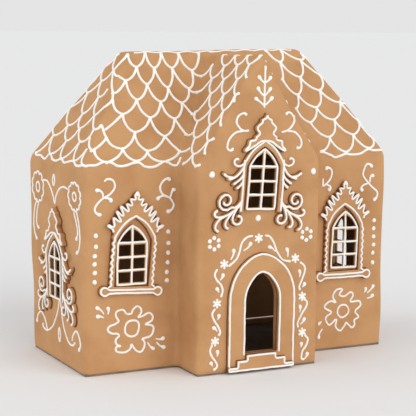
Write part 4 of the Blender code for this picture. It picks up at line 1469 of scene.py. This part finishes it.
def make_roof_icing(settings, materials):
    """The scales on every slope and the wavy line along every eave."""
    width = settings.roof_line
    piping = Piping("roof_icing", 13, made["skin"])
    ice_rows(piping, width, ring_roof, FRONT_LEFT_ROWS)
    ice_rows(piping, width, left_end_roof, HIP_ROWS)
    ice_rows(piping, width, right_end_roof, HIP_ROWS)
    ice_rows(piping, width, bay_roof_left, BAY_ROWS, in_front_edge)
    ice_rows(piping, width, bay_roof_right, BAY_ROWS, behind_front_edge)
    ice_rows(piping, width, front_roof, FRONT_RIGHT_ROWS)
    ice_rows(piping, width, back_roof, back_rows(piping.random))
    ice_hip(piping, width, ring_roof, LEFT_HIP_SCALES, LEFT_HIP_LINES)
    ice_hip(piping, width, ring_roof_right, RIGHT_HIP_SCALES)
    for left, node, right in VALLEY_SCALES:
        ice_scale(piping, width, ring_roof(*left), ring_roof(*node), bay_roof_left(*right))
        piping.dot(ring_roof(*node), NODE)
    for chart, line in ((ring_roof, FRONT_LEFT_EAVE), (ring_roof, HIP_EAVE), (ring_roof_right, HIP_EAVE),
                        (front_roof, FRONT_RIGHT_EAVE)):
        piping.bead([chart(*p) for p in smooth_line(line)], width)
    top_edge = [(x, HIP_SIDE + 1.4 + 1.2 * math.sin(x / 3.1), TOP) for x in range(70, 232, 2)]
    piping.bead(top_edge, 0.7 * width)
    back_eave = [(x, 2 + 2 * math.sin(x / 4.4)) for x in range(4, 297, 3)]
    piping.bead([back_roof(*p) for p in smooth_line(back_eave, steps=3)], width)
    piping.finish(materials["icing"])


# ---------------------------------------------------------------- studio

def make_studio(studio, finish):
    """A pale floor that runs out of sight, even light all round and a broad light from the front."""
    size = 30.0
    bm = bmesh.new()
    bmesh.ops.create_grid(bm, x_segments=8, y_segments=8, size=size)
    mesh = bpy.data.meshes.new("studio_floor")
    bm.to_mesh(mesh)
    bm.free()
    floor = add_object("studio_floor", mesh)
    mesh.materials.append(floor_finish("studio_floor", finish.floor))

    world = bpy.data.worlds.new("studio")
    bpy.context.scene.world = world
    world.use_nodes = True
    tree = world.node_tree
    light = tree.nodes["Background"]
    light.inputs["Color"].default_value = (1.0, 1.0, 1.0, 1.0)
    light.inputs["Strength"].default_value = studio.sky
    seen = tree.nodes.new("ShaderNodeBackground")
    seen.inputs["Color"].default_value = (1.0, 1.0, 1.0, 1.0)
    seen.inputs["Strength"].default_value = studio.backdrop
    choose = tree.nodes.new("ShaderNodeMixShader")
    path = tree.nodes.new("ShaderNodeLightPath")
    tree.links.new(path.outputs["Is Camera Ray"], choose.inputs["Fac"])
    tree.links.new(light.outputs["Background"], choose.inputs[1])
    tree.links.new(seen.outputs["Background"], choose.inputs[2])
    tree.links.new(choose.outputs["Shader"], tree.nodes["World Output"].inputs["Surface"])

    for name, strength, way in (("key_light", studio.key, (-0.35, 0.90, -0.28)),
                                ("fill_light", studio.fill, (0.97, -0.12, -0.22))):
        sun = bpy.data.lights.new(name, "SUN")
        sun.energy = strength
        sun.angle = studio.key_spread
        add_object(name, sun).rotation_euler = Vector(way).to_track_quat("-Z", "Y").to_euler()


def make_camera(studio):
    camera = bpy.data.cameras.new("camera")
    camera.lens = studio.lens
    camera.sensor_width = 36.0
    camera.clip_end = 100.0
    obj = add_object("camera", camera)
    yaw, pitch, roll = studio.camera_yaw, studio.camera_pitch, studio.camera_roll
    ahead = Vector((math.sin(yaw) * math.cos(pitch), math.cos(yaw) * math.cos(pitch), math.sin(pitch)))
    right = Vector((math.cos(yaw), -math.sin(yaw), 0))
    up = right.cross(ahead)
    turned = right * math.cos(roll) + up * math.sin(roll)
    up = up * math.cos(roll) - right * math.sin(roll)
    matrix = Matrix((turned, up, -ahead)).transposed().to_4x4()
    matrix.translation = studio.camera_place
    obj.matrix_world = matrix
    bpy.context.scene.camera = obj


# ---------------------------------------------------------------- operators

def finishes():
    """The materials, made once."""
    if "materials" not in made:
        colours = bpy.context.scene.finish_settings
        made["materials"] = {
            "gingerbread": gingerbread_finish("gingerbread", tuple(colours.gingerbread), tuple(colours.baked)),
            "frame": gingerbread_finish("gingerbread_frame", tuple(colours.gingerbread), tuple(colours.baked)),
            # Painted shade for the sides of raised pieces and for the shadow plates at their foot
            "scorched": painted_shade_finish("painted_shade_side", tuple(colours.scorched)),
            "icing": icing_finish("icing", tuple(colours.icing)),
            "board": board_finish("dark_board", tuple(colours.board)),
        }
    return made["materials"]


class GINGER_OT_walls(Operator):
    """Mould the walls and roof, with windows, doorway and back slot cut"""
    bl_idname = "ginger.walls"
    bl_label = "Walls and roof"

    def execute(self, context):
        make_walls(context.scene.house_settings, finishes())
        return {"FINISHED"}


class GINGER_OT_board(Operator):
    """Finish the thin board under the walls"""
    bl_idname = "ginger.board"
    bl_label = "Board"

    def execute(self, context):
        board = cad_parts["base_board"]
        board.data.materials.clear()
        board.data.materials.append(finishes()["board"])
        return {"FINISHED"}


class GINGER_OT_window_frames(Operator):
    """Build the raised frames round the five windows"""
    bl_idname = "ginger.window_frames"
    bl_label = "Window frames"

    def execute(self, context):
        for window, (_, kind, _, _) in WINDOWS.items():
            node = kind + "_frame_" + window
            matrix = frame_matrix(window) @ Matrix.Translation((0, 0, GAP))
            build_frame("window_frame_" + window, matrix, PARTS[kind](), FRAME_THICK,
                        context.scene.house_settings, finishes(), node)
        return {"FINISHED"}


class GINGER_OT_doorway(Operator):
    """Build the slab and steps of the doorway"""
    bl_idname = "ginger.doorway"
    bl_label = "Doorway"

    def execute(self, context):
        make_doorway(context.scene.house_settings, finishes())
        return {"FINISHED"}


class GINGER_OT_wall_icing(Operator):
    """Pipe sprigs, flowers, drops and dots on the walls"""
    bl_idname = "ginger.wall_icing"
    bl_label = "Icing on the walls"

    def execute(self, context):
        make_wall_icing(context.scene.icing_settings, finishes())
        return {"FINISHED"}


class GINGER_OT_frame_icing(Operator):
    """Pipe the lines on frames, grilles, doorway and steps"""
    bl_idname = "ginger.frame_icing"
    bl_label = "Icing on the frames"

    def execute(self, context):
        make_frame_icing(context.scene.icing_settings, finishes())
        return {"FINISHED"}


class GINGER_OT_roof_icing(Operator):
    """Pipe the scales and eaves of the roof"""
    bl_idname = "ginger.roof_icing"
    bl_label = "Icing on the roof"

    def execute(self, context):
        make_roof_icing(context.scene.icing_settings, finishes())
        return {"FINISHED"}


class GINGER_OT_studio(Operator):
    """Set the pale floor, the light and the camera"""
    bl_idname = "ginger.studio"
    bl_label = "Studio"

    def execute(self, context):
        make_studio(context.scene.studio_settings, context.scene.finish_settings)
        make_camera(context.scene.studio_settings)
        context.scene.view_settings.view_transform = "Standard"
        return {"FINISHED"}


STEPS = (GINGER_OT_studio, GINGER_OT_walls, GINGER_OT_board, GINGER_OT_window_frames, GINGER_OT_doorway,
         GINGER_OT_wall_icing, GINGER_OT_frame_icing, GINGER_OT_roof_icing)
SETTINGS = {"house_settings": HouseSettings, "icing_settings": IcingSettings,
            "finish_settings": FinishSettings, "studio_settings": StudioSettings}


class GINGER_PT_panel(Panel):
    """The steps of making the house"""
    bl_idname = "GINGER_PT_panel"
    bl_label = "Gingerbread House"
    bl_space_type = "VIEW_3D"
    bl_region_type = "UI"
    bl_category = "Gingerbread"

    def draw(self, context):
        for step in STEPS:
            self.layout.operator(step.bl_idname)
        for name, group in SETTINGS.items():
            box = self.layout.box()
            for field in group.__annotations__:
                box.prop(getattr(context.scene, name), field)


def register():
    for cls in (*SETTINGS.values(), *STEPS, GINGER_PT_panel):
        bpy.utils.register_class(cls)
    for name, group in SETTINGS.items():
        setattr(bpy.types.Scene, name, PointerProperty(type=group))


def unregister():
    for name in SETTINGS:
        delattr(bpy.types.Scene, name)
    for cls in (GINGER_PT_panel, *reversed(STEPS), *SETTINGS.values()):
        bpy.utils.unregister_class(cls)


def main():
    register()
    made["corner"] = frame_corner()
    for step in STEPS:
        group, name = step.bl_idname.split(".")
        getattr(getattr(bpy.ops, group), name)()
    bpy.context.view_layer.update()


if __name__ == "__main__":
    main()
